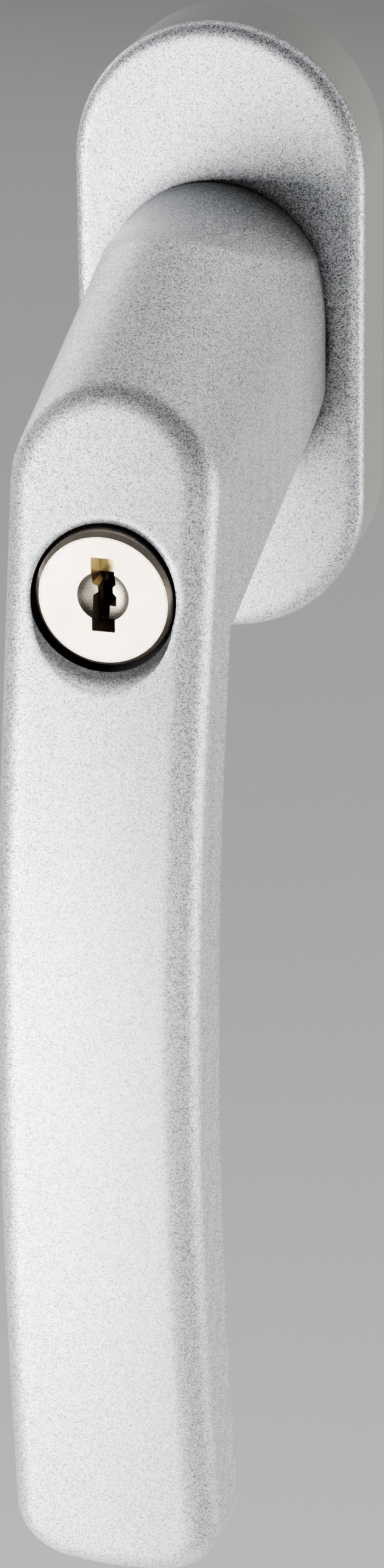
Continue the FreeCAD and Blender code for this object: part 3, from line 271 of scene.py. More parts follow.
class LockSettings(bpy.types.PropertyGroup):
    """Painted shade inside the lock, standing in for how light falls off there."""

    slot_lit: bpy.props.FloatProperty(
        name="Lit depth", description="Depth of the key slot down to which it stays lit",
        default=1.8 * MM, min=0.0, subtype="DISTANCE", unit="LENGTH")
    slot_dark: bpy.props.FloatProperty(
        name="Dark depth", description="Depth of the key slot from which it is dark",
        default=6.0 * MM, min=0.0, subtype="DISTANCE", unit="LENGTH")
    slot_darkest: bpy.props.FloatProperty(
        name="Slot brightness", description="Brightness left deep in the key slot", default=0.02,
        min=0.0, max=1.0)
    wafer_fade: bpy.props.FloatProperty(
        name="Wafer fade", description="Depth behind the first wafer from which the others are dark",
        default=0.8 * MM, min=0.0, subtype="DISTANCE", unit="LENGTH")
    wafer_darkest: bpy.props.FloatProperty(
        name="Wafer brightness", description="Brightness left on the rear wafers", default=0.03,
        min=0.0, max=1.0)
    # Reach and brightness of the shade painted into the barrel's crevices
    barrel_reach: bpy.props.FloatProperty(
        name="Barrel crevice reach", description="How far from a neighbouring surface the barrel darkens",
        default=0.7 * MM, min=0.0, subtype="DISTANCE", unit="LENGTH")
    barrel_darkest: bpy.props.FloatProperty(
        name="Barrel brightness", description="Brightness left in the barrel's crevices", default=0.12,
        min=0.0, max=1.0)


class ScrewSettings(bpy.types.PropertyGroup):
    """The small screws that hold the back plate."""

    head_radius: bpy.props.FloatProperty(
        name="Head radius", description="Outer radius of the countersunk head", default=2.0 * MM,
        min=0.0, subtype="DISTANCE", unit="LENGTH")
    head_height: bpy.props.FloatProperty(
        name="Head height", description="Height of the countersunk cone", default=0.72 * MM, min=0.0,
        subtype="DISTANCE", unit="LENGTH")
    edge_break: bpy.props.FloatProperty(
        name="Edge break", description="Bevel round the head's flat", default=0.08 * MM, min=0.0,
        subtype="DISTANCE", unit="LENGTH")
    shank_radius: bpy.props.FloatProperty(
        name="Shank radius", description="Radius under the head", default=1.1 * MM, min=0.0,
        subtype="DISTANCE", unit="LENGTH")
    point: bpy.props.FloatProperty(
        name="Point", description="Length of the tapered end", default=0.5 * MM, min=0.0,
        subtype="DISTANCE", unit="LENGTH")
    point_taper: bpy.props.FloatProperty(
        name="Point taper", description="Share of the shank's radius left at the tip", default=0.7,
        min=0.0, max=1.0)
    recess_reach: bpy.props.FloatProperty(
        name="Recess reach", description="From the middle to the end of a wing", default=1.05 * MM,
        min=0.0, subtype="DISTANCE", unit="LENGTH")
    recess_width: bpy.props.FloatProperty(
        name="Recess width", description="Width of a wing", default=0.46 * MM, min=0.0,
        subtype="DISTANCE", unit="LENGTH")
    recess_depth: bpy.props.FloatProperty(
        name="Recess depth", description="Depth of the cross", default=0.55 * MM, min=0.0,
        subtype="DISTANCE", unit="LENGTH")
    recess_taper: bpy.props.FloatProperty(
        name="Recess taper", description="Share of the cross's size left at its floor", default=0.62,
        min=0.0, max=1.0)
    recess_turn: bpy.props.FloatProperty(
        name="Recess turn", description="How far the screws' crosses are turned",
        default=math.radians(23), subtype="ANGLE")


class PolymerSettings(bpy.types.PropertyGroup):
    """Moulded pieces."""

    base: bpy.props.FloatVectorProperty(
        name="Base", description="Grey-beige moulding of the base", default=(0.30, 0.295, 0.28),
        min=0.0, max=1.0, subtype="COLOR")
    bearing: bpy.props.FloatVectorProperty(
        name="Bearing", description="Dark moulding of the bush and the carrier",
        default=(0.035, 0.035, 0.04), min=0.0, max=1.0, subtype="COLOR")


# Node helpers

def node(tree, kind, place, inputs=None, **properties):
    """A node with its properties. Each input takes a value, or the output socket that feeds it."""
    made = tree.nodes.new(kind)
    made.location = place
    for key, value in properties.items():
        setattr(made, key, value)
    for key, value in (inputs or {}).items():
        if isinstance(value, bpy.types.NodeSocket):
            tree.links.new(value, made.inputs[key])
        else:
            made.inputs[key].default_value = value
    return made


def calculate(tree, place, operation, first, second=0.0):
    """The result of a Math node."""
    return node(tree, "ShaderNodeMath", place, {0: first, 1: second}, operation=operation).outputs[0]


def calculate_vector(tree, place, operation, first, second=None):
    """The result of a Vector Math node, which is a number for a length or a dot product."""
    inputs = {0: first}
    if second is not None:
        inputs["Scale" if operation == "SCALE" else 1] = second
    made = node(tree, "ShaderNodeVectorMath", place, inputs, operation=operation)
    return made.outputs["Value" if operation in ("LENGTH", "DOT_PRODUCT") else "Vector"]


def split(tree, place, vector):
    """A vector's parts, by the names X, Y and Z."""
    return node(tree, "ShaderNodeSeparateXYZ", place, {0: vector}).outputs


def join(tree, place, parts):
    """A vector from its named parts."""
    return node(tree, "ShaderNodeCombineXYZ", place, parts).outputs[0]


def mix(tree, place, kind, factor, first, second):
    """A blend of two numbers, vectors or colours."""
    low, high, result = MIX_SOCKETS[kind]
    made = node(tree, "ShaderNodeMix", place, {"Factor": factor, low: first, high: second}, data_type=kind)
    return made.outputs[result]


def map_range(tree, place, value, source, target, interpolation="SMOOTHSTEP"):
    """A value carried from the source range to the target range."""
    inputs = {"Value": value, "From Min": source[0], "From Max": source[1],
              "To Min": target[0], "To Max": target[1]}
    return node(tree, "ShaderNodeMapRange", place, inputs, interpolation_type=interpolation).outputs["Result"]


def new_group(title, inputs, outputs):
    """An empty node group: its tree, the sockets it is given and the sockets of its results."""
    group = bpy.data.node_groups.new(title, "ShaderNodeTree")
    for name, kind, value in inputs:
        socket = group.interface.new_socket(name, in_out="INPUT", socket_type=kind)
        if value is not None:
            socket.default_value = value
    for name, kind in outputs:
        group.interface.new_socket(name, in_out="OUTPUT", socket_type=kind)
    start = node(group, "NodeGroupInput", (-900, 0))
    end = node(group, "NodeGroupOutput", (600, 0))
    return group, start.outputs, end.inputs


# Shared effects

def build_flakes(title):
    """Metal flakes in a lacquer: each cell has its own brightness and its own slight lean."""
    group, given, results = new_group(
        title,
        [("Vector", VECTOR, None), ("Scale", FLOAT, 9000.0), ("Contrast", FLOAT, 0.16),
         ("Base Color", COLOR, GREY), ("Lean", FLOAT, 0.15), ("Rounding", FLOAT, 0.001)],
        [("Color", COLOR), ("Normal", VECTOR)])
    cells = node(group, "ShaderNodeTexVoronoi", (-700, 200),
                 {"Vector": given["Vector"], "Scale": given["Scale"]}, feature="F1").outputs["Color"]
    chance = node(group, "ShaderNodeSeparateColor", (-500, 200), {"Color": cells}).outputs["Red"]
    centred = calculate(group, (-320, 200), "SUBTRACT", chance, 0.5)
    scaled = calculate(group, (-160, 200), "MULTIPLY", centred, given["Contrast"])
    brightness = calculate(group, (0, 200), "ADD", scaled, 1.0)
    tinted = calculate_vector(group, (180, 200), "SCALE", given["Base Color"], brightness)
    group.links.new(tinted, results["Color"])
    middle = calculate_vector(group, (-500, -120), "SUBTRACT", cells, (0.5, 0.5, 0.5))
    lean = calculate_vector(group, (-320, -120), "SCALE", middle, given["Lean"])
    rounded = node(group, "ShaderNodeBevel", (-320, -320), {"Radius": given["Rounding"]}, samples=8)
    leaning = calculate_vector(group, (-140, -120), "ADD", rounded.outputs["Normal"], lean)
    group.links.new(calculate_vector(group, (40, -120), "NORMALIZE", leaning), results["Normal"])
    return group


def build_grain(title):
    """Fine and coarse unevenness of a moulded, cast or sprayed surface."""
    group, given, results = new_group(
        title,
        [("Vector", VECTOR, None), ("Fine Scale", FLOAT, 4000.0), ("Coarse Scale", FLOAT, 300.0),
         ("Coarse Share", FLOAT, 0.3), ("Low", FLOAT, 0.4), ("High", FLOAT, 0.6)],
        [("Height", FLOAT), ("Value", FLOAT)])
    fine = node(group, "ShaderNodeTexNoise", (-700, 150),
                {"Vector": given["Vector"], "Scale": given["Fine Scale"], "Detail": 2.0})
    coarse = node(group, "ShaderNodeTexNoise", (-700, -150),
                  {"Vector": given["Vector"], "Scale": given["Coarse Scale"], "Detail": 3.0})
    height = mix(group, (-420, 0), "FLOAT", given["Coarse Share"], fine.outputs["Fac"],
                 coarse.outputs["Fac"])
    group.links.new(height, results["Height"])
    value = map_range(group, (-200, -100), height, (0.3, 0.7), (given["Low"], given["High"]), "LINEAR")
    group.links.new(value, results["Value"])
    return group


def build_crevice_shade(title):
    """Painted shade: darkens a colour where neighbouring surfaces shut out the light."""
    group, given, results = new_group(
        title, [("Color", COLOR, GREY), ("Reach", FLOAT, 0.004), ("Darkest", FLOAT, 0.1)],
        [("Color", COLOR)])
    openness = node(group, "ShaderNodeAmbientOcclusion", (-600, 0), {"Distance": given["Reach"]}, samples=12)
    shade = map_range(group, (-400, 0), openness.outputs["AO"], (CLOSED, 1.0), (given["Darkest"], 1.0))
    group.links.new(calculate_vector(group, (-160, 0), "SCALE", given["Color"], shade), results["Color"])
    return group


def build_depth_shade(title):
    """Painted shade: darkens a colour from one depth to a deeper one, as inside an unlit slot."""
    group, given, results = new_group(
        title,
        [("Vector", VECTOR, None), ("Color", COLOR, GREY), ("From", FLOAT, -0.06), ("To", FLOAT, -0.05),
         ("Darkest", FLOAT, 0.05)],
        [("Color", COLOR)])
    depth = split(group, (-700, 0), given["Vector"])["Y"]
    shade = map_range(group, (-400, 0), depth, (given["From"], given["To"]), (1.0, given["Darkest"]))
    group.links.new(calculate_vector(group, (-160, 0), "SCALE", given["Color"], shade), results["Color"])
    return group


def build_tool_marks(title):
    """Rings left by turning, round an axis along Y."""
    group, given, results = new_group(
        title, [("Vector", VECTOR, None), ("Ring Scale", FLOAT, 9000.0)], [("Height", FLOAT)])
    parts = split(group, (-700, 0), given["Vector"])
    flat = join(group, (-540, 0), {"X": parts["X"], "Z": parts["Z"]})
    radius = calculate_vector(group, (-380, 0), "LENGTH", flat)
    along = join(group, (-220, 0), {"X": radius, "Y": parts["Y"]})
    rings = node(group, "ShaderNodeTexNoise", (-40, 0),
                 {"Vector": along, "Scale": given["Ring Scale"], "Detail": 1.0})
    group.links.new(rings.outputs["Fac"], results["Height"])
    return group


def build_crown(title):
    """A slight crown across the lever's front: faces that look forward lean outwards with their x place."""
    group, given, results = new_group(
        title, [("Vector", VECTOR, None), ("Normal", VECTOR, None), ("Curvature", FLOAT, 9.0)],
        [("Normal", VECTOR)])
    across = split(group, (-700, 150), given["Vector"])["X"]
    facing = split(group, (-700, -150), given["Normal"])["Y"]
    front = map_range(group, (-500, -150), facing, (CROWN_START, CROWN_FULL), (0.0, 1.0))
    lean = calculate(group, (-500, 150), "MULTIPLY", across, given["Curvature"])
    masked = calculate(group, (-320, 0), "MULTIPLY", lean, front)
    sideways = join(group, (-140, 0), {"X": masked})
    leaning = calculate_vector(group, (40, 0), "ADD", given["Normal"], sideways)
    group.links.new(calculate_vector(group, (220, 0), "NORMALIZE", leaning), results["Normal"])
    return group


def build_lock_dish(title):
    """The shallow dish round the lock: it looks as level as the front, and painted shade darkens it towards
    the barrel.
    """
    group, given, results = new_group(
        title,
        [("Vector", VECTOR, None), ("Color", COLOR, GREY), ("Normal", VECTOR, None),
         ("Inner Radius", FLOAT, 0.008), ("Outer Radius", FLOAT, 0.011), ("Reach", FLOAT, 0.012),
         ("Darkest", FLOAT, 0.05)],
        [("Color", COLOR), ("Normal", VECTOR)])
    place = calculate_vector(group, (-720, 0), "MULTIPLY", given["Vector"], (1.0, 0.0, 1.0))
    radius = calculate_vector(group, (-560, 0), "LENGTH", place)
    near = calculate(group, (-400, -160), "LESS_THAN", radius, given["Reach"])
    surface = node(group, "ShaderNodeNewGeometry", (-720, -320))
    outwards = calculate_vector(group, (-560, -160), "NORMALIZE", place)
    lean = calculate_vector(group, (-560, -320), "DOT_PRODUCT", surface.outputs["True Normal"], outwards)
    inwards = calculate(group, (-400, -320), "LESS_THAN", lean, DISH_LEAN)
    mask = calculate(group, (-240, -240), "MULTIPLY", near, inwards)
    # Painted shade, darkest at the inner radius
    shade = map_range(group, (-400, 160), radius, (given["Inner Radius"], given["Outer Radius"]),
                      (given["Darkest"], 1.0))
    masked = mix(group, (-80, 160), "FLOAT", mask, 1.0, shade)
    group.links.new(calculate_vector(group, (120, 160), "SCALE", given["Color"], masked), results["Color"])
    level = mix(group, (120, -160), "VECTOR", mask, given["Normal"], HEAD_FRONT)
    group.links.new(level, results["Normal"])
    return group


GROUPS = {
    "Flakes": build_flakes,
    "Grain": build_grain,
    "Crevice shade": build_crevice_shade,
    "Depth": build_depth_shade,
    "Tool marks": build_tool_marks,
    "Crown": build_crown,
    "Lock dish": build_lock_dish,
}


class Surface:
    """A material with a Principled BSDF, whose patterns read Object coordinates."""

    def __init__(self, name, metallic=0.0, centre=(0.0, 0.0, 0.0), stretch=(1.0, 1.0, 1.0)):
        self.material = bpy.data.materials.new(name)
        self.material.use_nodes = True
        self.tree = self.material.node_tree
        self.shader = self.tree.nodes["Principled BSDF"]
        self.shader.inputs["Metallic"].default_value = metallic
        self.place = node(self.tree, "ShaderNodeTexCoord", (-1100, 0)).outputs["Object"]
        self.pattern = self.move_to(centre, (-900, 0), stretch)
        self.bump = None

    def move_to(self, centre, place, stretch=(1.0, 1.0, 1.0)):
        """Coordinates whose origin is a centre on the piece."""
        moved = {"Vector": self.place, "Location": [-part for part in centre], "Scale": stretch}
        return node(self.tree, "ShaderNodeMapping", place, moved).outputs["Vector"]

    def source(self, socket):
        """The output that feeds one of the shader's inputs so far."""
        return self.shader.inputs[socket].links[0].from_socket

    def feed(self, socket, output):
        """Links an output to one of the shader's inputs."""
        self.tree.links.new(output, self.shader.inputs[socket])

    def add_group(self, title, place, inputs):
        """The outputs of a shared group's node. The group is built if the file doesn't have it yet."""
        group = bpy.data.node_groups.get(title) or GROUPS[title](title)
        return node(self.tree, "ShaderNodeGroup", place, inputs, node_tree=group).outputs

    def add_grain(self, fine, coarse, share, low, high):
        """Makes the roughness uneven between a low and a high value. It returns the grain's height."""
        grain = self.add_group("Grain", (-620, 0), {
            "Vector": self.pattern, "Fine Scale": fine, "Coarse Scale": coarse, "Coarse Share": share,
            "Low": low, "High": high})
        self.feed("Roughness", grain["Value"])
        return grain["Height"]

    def vary_color(self, color, height, dark, light):
        """A colour that runs from darker to lighter with a height. The two shades are shares of it."""
        shades = [rgba([min(1.0, part * share) for part in color]) for share in (dark, light)]
        self.feed("Base Color", mix(self.tree, (-360, 220), "RGBA", height, *shades))

    def add_bump(self, height, distance, strength):
        """Turns a height into relief."""
        self.bump = node(self.tree, "ShaderNodeBump", (-220, -320),
                         {"Height": height, "Distance": distance, "Strength": strength})
        self.feed("Normal", self.bump.outputs["Normal"])

    def lean(self, normal):
        """Puts a normal under the relief."""
        self.tree.links.new(normal, self.bump.inputs["Normal"])

    def add_crevice_shade(self, reach, darkest):
        """Paints shade into the colour beside neighbouring surfaces."""
        shaded = self.add_group("Crevice shade", (-180, 260), {
            "Color": self.source("Base Color"), "Reach": reach, "Darkest": darkest})
        self.feed("Base Color", shaded["Color"])

    def add_depth_shade(self, front, rear, darkest):
        """Paints shade into the colour from one Y place to a deeper one."""
        shaded = self.add_group("Depth", (-180, 460), {
            "Vector": self.place, "Color": self.source("Base Color"), "From": front, "To": rear,
            "Darkest": darkest})
        self.feed("Base Color", shaded["Color"])

    def add_tilt_shade(self, shades):
        """Paints shade into the colour by how squarely a surface faces the front: pairs of facing and
        brightness.
        """
        geometry = node(self.tree, "ShaderNodeNewGeometry", (-760, 620))
        forward = split(self.tree, (-600, 620), geometry.outputs["True Normal"])["Y"]
        facing = calculate(self.tree, (-440, 620), "ABSOLUTE", forward)
        ramp = node(self.tree, "ShaderNodeValToRGB", (-280, 620), {"Fac": facing})
        stops = ramp.color_ramp.elements
        while len(stops) < len(shades):
            stops.new(0.5)
        for stop, (place, bright) in zip(stops, shades):
            stop.position = place
            stop.color = (bright, bright, bright, 1.0)
        tinted = calculate_vector(self.tree, (0, 620), "MULTIPLY", self.source("Base Color"),
                                  ramp.outputs["Color"])
        self.feed("Base Color", tinted)


# Materials

def lacquer(name, settings, color, contrast, lock_centre=None):
    """Lacquer with metal flakes. Only the lever's has a lock, with a dish round it that gets painted shade,
    and a crowned front.
    """
    surface = Surface(name, settings.metallic)
    flakes = surface.add_group("Flakes", (-820, 200), {
        "Vector": surface.pattern, "Scale": 1 / settings.flake_size, "Contrast": contrast,
        "Base Color": rgba(color), "Lean": settings.flake_lean, "Rounding": settings.rounding})
    surface.feed("Base Color", flakes["Color"])
    peel = surface.add_grain(fine=2500.0, coarse=500.0, share=0.35,
                             low=settings.roughness - settings.roughness_spread,
                             high=settings.roughness + settings.roughness_spread)
    surface.add_bump(peel, distance=settings.peel_height, strength=0.6)
    surface.lean(flakes["Normal"])
    surface.shader.inputs["Coat Weight"].default_value = settings.coat
    surface.shader.inputs["Coat Roughness"].default_value = settings.coat_roughness
    if lock_centre is not None:
        # Painted shade in the dish round the lock
        dish = surface.add_group("Lock dish", (-640, -500), {
            "Vector": surface.move_to(lock_centre, (-900, -500)), "Color": flakes["Color"],
            "Normal": flakes["Normal"], "Inner Radius": settings.dish_inner,
            "Outer Radius": settings.dish_outer, "Reach": settings.dish_outer + settings.dish_margin})
        surface.feed("Base Color", dish["Color"])
        crowned = surface.add_group("Crown", (-420, -420), {
            "Vector": surface.pattern, "Normal": dish["Normal"], "Curvature": settings.crown})
        surface.lean(crowned["Normal"])
    return surface


def moulded(name, color, roughness, grain):
    """Moulded plastic with an eroded grain."""
    surface = Surface(name)
    height = surface.add_grain(fine=grain, coarse=grain / 12, share=0.25, low=roughness - 0.06,
                               high=roughness + 0.06)
    surface.vary_color(color, height, dark=0.9, light=1.1)
    surface.add_bump(height, distance=0.02 * MM, strength=0.8)
    return surface


def turned(name, color, roughness, rings, centre=(0.0, 0.0, 0.0)):
    """Plated metal with rings from turning, round an axis along Y through the centre."""
    surface = Surface(name, metallic=1.0, centre=centre)
    stains = surface.add_grain(fine=1500.0, coarse=260.0, share=0.6, low=roughness - 0.07,
                               high=roughness + 0.09)
    surface.vary_color(color, stains, dark=0.93, light=1.05)
    marks = surface.add_group("Tool marks", (-620, -240), {"Vector": surface.pattern, "Ring Scale": rings})
    surface.add_bump(marks["Height"], distance=0.002 * MM, strength=0.7)
    return surface


def drawn(name, color, roughness):
    """Bar stock, with fine lines along Y from drawing."""
    surface = Surface(name, metallic=1.0, stretch=(1.0, 0.02, 1.0))
    lines = surface.add_grain(fine=7000.0, coarse=900.0, share=0.4, low=roughness - 0.08,
                              high=roughness + 0.1)
    surface.vary_color(color, lines, dark=0.85, light=1.1)
    surface.add_bump(lines, distance=0.006 * MM, strength=0.8)
    return surface


def cast(name, color, roughness):
    """Cast or stamped metal with a fine grain."""
    surface = Surface(name, metallic=1.0)
    height = surface.add_grain(fine=2600.0, coarse=420.0, share=0.45, low=roughness - 0.1,
                               high=roughness + 0.1)
    surface.vary_color(color, height, dark=0.85, light=1.1)
    surface.add_bump(height, distance=0.02 * MM, strength=0.8)
    return surface


def dress(surface, *names):
    """Gives CAD nodes their material."""
    for name in names:
        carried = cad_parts[name]
        if not carried.material_slots:
            carried.data.materials.append(surface.material)
        for slot in carried.material_slots:
            slot.material = surface.material


# Operators

class HANDLE_OT_castings(bpy.types.Operator):
    """Lacquers the lever and the rosette's cover, with painted shade in their crevices and on the neck"""

    bl_idname = "handle.castings"
    bl_label = "Lever and cover"

    def execute(self, context):
        settings = context.scene.handle_lacquer
        low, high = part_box("lock_barrel")
        lever = lacquer("lever lacquer", settings, settings.color, settings.flake_contrast, (low + high) / 2)
        # Painted shade in the lever's crevices
        lever.add_crevice_shade(settings.crevice_reach, settings.crevice_darkest)
        # Painted shade on the neck, darker towards the cover
        cover_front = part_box("rosette_cover")[0].y
        lever.add_depth_shade(cover_front - settings.neck_shade, cover_front, settings.neck_darkest)
        dress(lever, "lever")
        cover = lacquer("cover lacquer", settings, settings.cover_shaded_color, settings.cover_flake_contrast)
        # Painted shade in the cover's crevices
        cover.add_crevice_shade(settings.cover_crevice_reach, settings.cover_crevice_darkest)
        dress(cover, "rosette_cover")
        return {"FINISHED"}


class HANDLE_OT_mouldings(bpy.types.Operator):
    """Finishes the base, the bush and the spring carrier"""

    bl_idname = "handle.mouldings"
    bl_label = "Base and bearings"

    def execute(self, context):
        settings = context.scene.handle_polymer
        base = moulded("base moulding", settings.base, roughness=0.52, grain=3200.0)
        dress(base, "base_plate")
        bearing = moulded("bearing moulding", settings.bearing, roughness=0.42, grain=4200.0)
        dress(bearing, "collar_bush", "spring_carrier")
        return {"FINISHED"}


class HANDLE_OT_lock(bpy.types.Operator):
    """Finishes the cylinder lock and its wafers, with painted shade inside the lock"""

    bl_idname = "handle.lock"
    bl_label = "Lock"

    def execute(self, context):
        metal = context.scene.handle_metal
        settings = context.scene.handle_lock
        low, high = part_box("lock_plug")
        face = low.y
        centre = (low + high) / 2
        plug = turned("satin nickel", metal.nickel, roughness=0.34, rings=9000.0, centre=centre)
        # Painted shade on the plug by how squarely it faces the front
        plug.add_tilt_shade(PLUG_PAINTED_SHADES)
        # Painted shade deep in the key slot
        plug.add_depth_shade(face + settings.slot_lit, face + settings.slot_dark, settings.slot_darkest)
        dress(plug, "lock_plug")
        barrel = turned("bright nickel", metal.nickel, roughness=0.30, rings=5000.0, centre=centre)
        # Painted shade in the barrel's crevices
        barrel.add_crevice_shade(settings.barrel_reach, settings.barrel_darkest)
        dress(barrel, "lock_barrel")
        first_wafer_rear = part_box("wafer_1")[1].y
        brass = cast("stamped brass", metal.brass, roughness=0.30)
        # Painted shade on the wafers behind the first
        brass.add_depth_shade(first_wafer_rear, first_wafer_rear + settings.wafer_fade, settings.wafer_darkest)
        wafers = [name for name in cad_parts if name.startswith("wafer_")]
        dress(brass, *wafers)
        return {"FINISHED"}


class HANDLE_OT_works(bpy.types.Operator):
    """Finishes the spindle, the ring, the pins, the springs and the locking bolt"""

    bl_idname = "handle.works"
    bl_label = "Spindle, index and bolt"

    def execute(self, context):
        metal = context.scene.handle_metal
        zinc = turned("zinc plate", metal.zinc, roughness=0.34, rings=2500.0)
        dress(zinc, "lock_ring", "back_plate", "plate_screws", "cam_screw")
        bar = drawn("drawn steel", metal.zinc, roughness=0.32)
        dress(bar, "spindle", "spindle_pin", "index_hub", "barrel_pin", "lock_bolt", "follower_pin")
        spring = turned("spring steel", metal.spring, roughness=0.28, rings=3500.0)
        dress(spring, "index_spring_left", "index_spring_right", "collar_circlip", "plug_circlip")
        casting = cast("cast zinc", metal.cast, roughness=0.45)
        dress(casting, "cam_sleeve", "bolt_slider")
        return {"FINISHED"}


def recess_head(shape, head_radius, sizes):
    """A round head that faces +Y, with a tapered cross recess pressed into it. It returns the rim's edges."""
    reach = sizes.recess_reach
    half_width = sizes.recess_width / 2
    bmesh.ops.create_circle(shape, cap_ends=True, segments=SCREW_SEGMENTS, radius=head_radius,
                            matrix=Matrix.Rotation(math.radians(-90), 4, "X"))
    for axis in (Vector((1, 0, 0)), Vector((0, 0, 1))):
        for offset in (-reach, -half_width, half_width, reach):
            everything = shape.verts[:] + shape.edges[:] + shape.faces[:]
            bmesh.ops.bisect_plane(shape, geom=everything, plane_co=axis * offset, plane_no=axis)
    rim = [edge for edge in shape.edges if edge.is_boundary]
    cross = []
    for face in shape.faces:
        middle = face.calc_center_median()
        near, far = sorted((abs(middle.x), abs(middle.z)))
        if near < half_width and far < reach:
            cross.append(face)
    pressed = bmesh.ops.extrude_face_region(shape, geom=cross)
    bmesh.ops.delete(shape, geom=cross, context="FACES")
    floor = [part for part in pressed["geom"] if isinstance(part, bmesh.types.BMVert)]
    bmesh.ops.scale(shape, vec=(sizes.recess_taper, 1.0, sizes.recess_taper), verts=floor)
    bmesh.ops.translate(shape, vec=(0, -sizes.recess_depth, 0), verts=floor)
    return rim


def add_shank(shape, rim, steps):
    """Carries a rim on towards -Y. Each step is a radius factor and a length."""
    for factor, length in steps:
        grown = bmesh.ops.extrude_edge_only(shape, edges=rim)["geom"]
        ring = [part for part in grown if isinstance(part, bmesh.types.BMVert)]
        rim = [part for part in grown if isinstance(part, bmesh.types.BMEdge) and part.is_boundary]
        bmesh.ops.scale(shape, vec=(factor, 1.0, factor), verts=ring)
        bmesh.ops.translate(shape, vec=(0, -length, 0), verts=ring)
    bmesh.ops.holes_fill(shape, edges=rim)


def put_in_order(shape):
    """Sorts a mesh's parts by their places, because extruding a region leaves their order to chance."""
    keys = ((shape.verts, lambda vert: vert.co[:]),
            (shape.edges, lambda edge: sorted(vert.co[:] for vert in edge.verts)),
            (shape.faces, lambda face: sorted(vert.co[:] for vert in face.verts)))
    for parts, key in keys:
        ranks = {part: rank for rank, part in enumerate(sorted(parts, key=key))}
        parts.sort(key=ranks.get)


def new_object(shape, name, surface):
    """Turns a bmesh into an object in the scene."""
    mesh = bpy.data.meshes.new(name)
    shape.to_mesh(mesh)
    shape.free()
    mesh.materials.append(surface.material)
    made = bpy.data.objects.new(name, mesh)
    bpy.context.scene.collection.objects.link(made)
    return made


class HANDLE_OT_screws(bpy.types.Operator):
    """Makes the four countersunk screws of the back plate, with their cross recesses"""

    bl_idname = "handle.screws"
    bl_label = "Plate screws"

    def execute(self, context):
        sizes = context.scene.handle_screws
        low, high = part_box("plate_screws")
        zinc = turned("screw zinc", context.scene.handle_metal.zinc, roughness=0.30, rings=3500.0)
        head_radius = sizes.head_radius - sizes.edge_break
        straight = high.y - low.y - sizes.edge_break - sizes.head_height - sizes.point
        steps = ((sizes.head_radius / head_radius, sizes.edge_break),
                 (sizes.shank_radius / sizes.head_radius, sizes.head_height),
                 (1.0, straight),
                 (sizes.point_taper, sizes.point))
        pieces = []
        for side, side_name in ((-1, "left"), (1, "right")):
            for rise, level in ((-1, "lower"), (1, "upper")):
                shape = bmesh.new()
                add_shank(shape, recess_head(shape, head_radius, sizes), steps)
                turn = Matrix.Rotation(side * rise * sizes.recess_turn, 4, "Y")
                place = Matrix.Translation((side * (high.x - sizes.head_radius), high.y,
                                            rise * (high.z - sizes.head_radius)))
                bmesh.ops.transform(shape, matrix=place @ turn, verts=shape.verts)
                bmesh.ops.recalc_face_normals(shape, faces=shape.faces)
                put_in_order(shape)
                pieces.append(new_object(shape, f"plate_screw_{level}_{side_name}", zinc))
        for piece in pieces:
            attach(piece, "rosette")
        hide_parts("plate_screws")
        return {"FINISHED"}


class HANDLE_OT_camera(bpy.types.Operator):
    """Places the camera at the photograph's angle"""

    bl_idname = "handle.camera"
    bl_label = "Camera"

    def execute(self, context):
        settings = context.scene.handle_camera
        back = direction(settings.azimuth, settings.elevation)
        right = back.cross(Vector((0, 0, -1))).normalized()
        up = back.cross(right)
        right, up = (math.cos(settings.roll) * right + math.sin(settings.roll) * up,
                     math.cos(settings.roll) * up - math.sin(settings.roll) * right)
        eye = Vector(settings.target) + back * settings.distance
        data = bpy.data.cameras.new("camera")
        data.sensor_width = SENSOR
        focal_pixels = settings.pixels_per_mm * settings.distance / MM
        data.lens = focal_pixels / PHOTO_HEIGHT * SENSOR
        data.clip_start = 0.01
        data.clip_end = 20.0
        camera = bpy.data.objects.new("camera", data)
        context.scene.collection.objects.link(camera)
        turn = Matrix((right, up, back)).transposed().to_4x4()
        camera.matrix_world = Matrix.Translation(eye) @ turn
        context.scene.camera = camera
        return {"FINISHED"}


def area_light(name, place, facing, size, strength, color=WHITE):
    """A rectangular light of an even brightness. The camera does not see it."""
    width, height = size
    data = bpy.data.lights.new(name, "AREA")
    data.shape = "RECTANGLE"
    data.size = width
    data.size_y = height
    data.energy = strength * math.pi * width * height
    data.color = color
    light = bpy.data.objects.new(name, data)
    light.visible_camera = False
    bpy.context.scene.collection.objects.link(light)
    turn = facing.to_track_quat("-Z", "Y").to_matrix().to_4x4()
    light.matrix_world = Matrix.Translation(place) @ turn


def soft_box(name, azimuth, elevation, size, strength, color=WHITE):
    """An area light that faces the handle from a direction in degrees."""
    towards = direction(math.radians(azimuth), math.radians(elevation))
    area_light(name, LIGHT_AIM + towards * LIGHT_DISTANCE, -towards, size, strength, color)


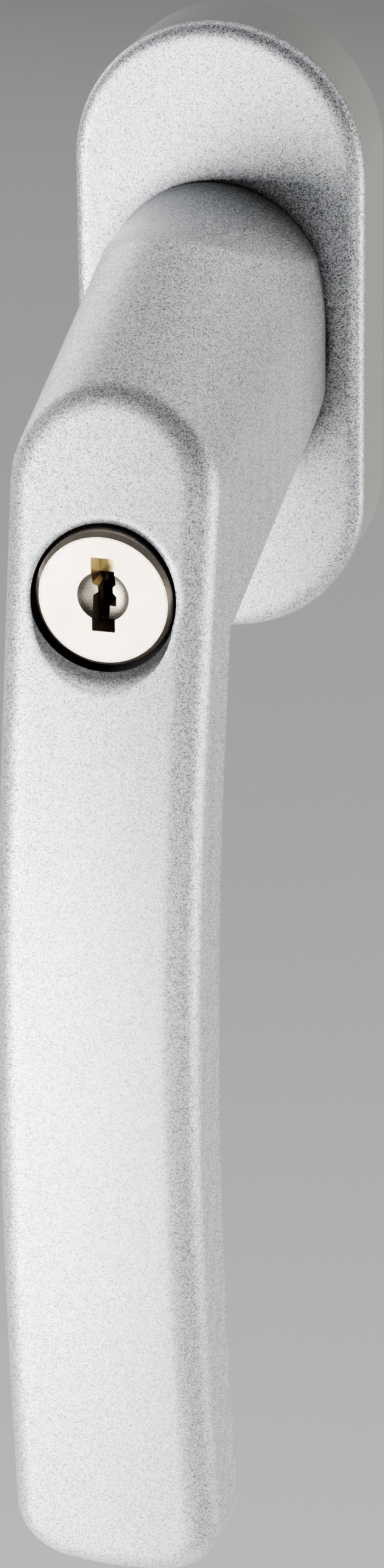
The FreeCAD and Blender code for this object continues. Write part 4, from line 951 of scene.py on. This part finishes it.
class HANDLE_OT_stage(bpy.types.Operator):
    """Makes the floor and the studio's lights"""

    bl_idname = "handle.stage"
    bl_label = "Floor and lights"

    def execute(self, context):
        settings = context.scene.handle_studio
        floor_height = cad_box[0].z - settings.floor_drop
        paper = Surface("pale paper")
        paper.add_grain(fine=900.0, coarse=40.0, share=0.5, low=0.75, high=0.9)
        paper.shader.inputs["Base Color"].default_value = rgba(settings.floor_color)
        shape = bmesh.new()
        bmesh.ops.create_grid(shape, x_segments=1, y_segments=1, size=FLOOR_REACH,
                              matrix=Matrix.Translation((0, 0, floor_height)))
        new_object(shape, "floor", paper)
        soft_box("key light", -35, -20, (0.62, 0.66), settings.key_strength)
        soft_box("fill light", 40, -12, (0.60, 0.36), settings.fill_strength)
        soft_box("top light", 166, 56, (1.20, 0.66), settings.top_strength)
        soft_box("left light", -126, 20, (0.50, 0.60), settings.left_strength)
        soft_box("back light", 134, 22, (0.50, 0.44), settings.back_strength)
        soft_box("edge light", 106, -12, (0.50, 0.44), settings.edge_strength, WARM)
        area_light("floor light", Vector((0, 0, floor_height + FLOOR_LIGHT_HEIGHT)), Vector((0, 0, -1)),
                   (FLOOR_LIGHT_WIDTH, FLOOR_LIGHT_WIDTH), settings.floor_strength)
        world = bpy.data.worlds.new("room")
        context.scene.world = world
        world.use_nodes = True
        background = world.node_tree.nodes["Background"]
        background.inputs["Color"].default_value = rgba(settings.world_color)
        background.inputs["Strength"].default_value = settings.world_strength
        return {"FINISHED"}


class HANDLE_PT_panel(bpy.types.Panel):
    """Lists the handle's pieces and their settings"""

    bl_label = "Window handle"
    bl_idname = "HANDLE_PT_panel"
    bl_space_type = "VIEW_3D"
    bl_region_type = "UI"
    bl_category = "Window handle"

    def draw(self, context):
        for operator in OPERATORS:
            self.layout.operator(operator.bl_idname)
        for name, group in SETTINGS.items():
            box = self.layout.box()
            box.label(text=group.__doc__)
            for entry in group.__annotations__:
                box.prop(getattr(context.scene, name), entry)


OPERATORS = (HANDLE_OT_castings, HANDLE_OT_mouldings, HANDLE_OT_lock, HANDLE_OT_works, HANDLE_OT_screws,
             HANDLE_OT_camera, HANDLE_OT_stage)
SETTINGS = {
    "handle_camera": CameraSettings,
    "handle_studio": StudioSettings,
    "handle_lacquer": LacquerSettings,
    "handle_metal": MetalSettings,
    "handle_lock": LockSettings,
    "handle_screws": ScrewSettings,
    "handle_polymer": PolymerSettings,
}


def register():
    for group in SETTINGS.values():
        bpy.utils.register_class(group)
    for kind in (*OPERATORS, HANDLE_PT_panel):
        bpy.utils.register_class(kind)
    for name, group in SETTINGS.items():
        setattr(bpy.types.Scene, name, bpy.props.PointerProperty(type=group))


def unregister():
    for name in SETTINGS:
        delattr(bpy.types.Scene, name)
    for kind in (HANDLE_PT_panel, *reversed(OPERATORS), *reversed(SETTINGS.values())):
        bpy.utils.unregister_class(kind)


def main():
    register()
    bpy.ops.handle.castings()
    bpy.ops.handle.mouldings()
    bpy.ops.handle.lock()
    bpy.ops.handle.works()
    bpy.ops.handle.screws()
    bpy.ops.handle.camera()
    bpy.ops.handle.stage()


if __name__ == "__main__":
    main()
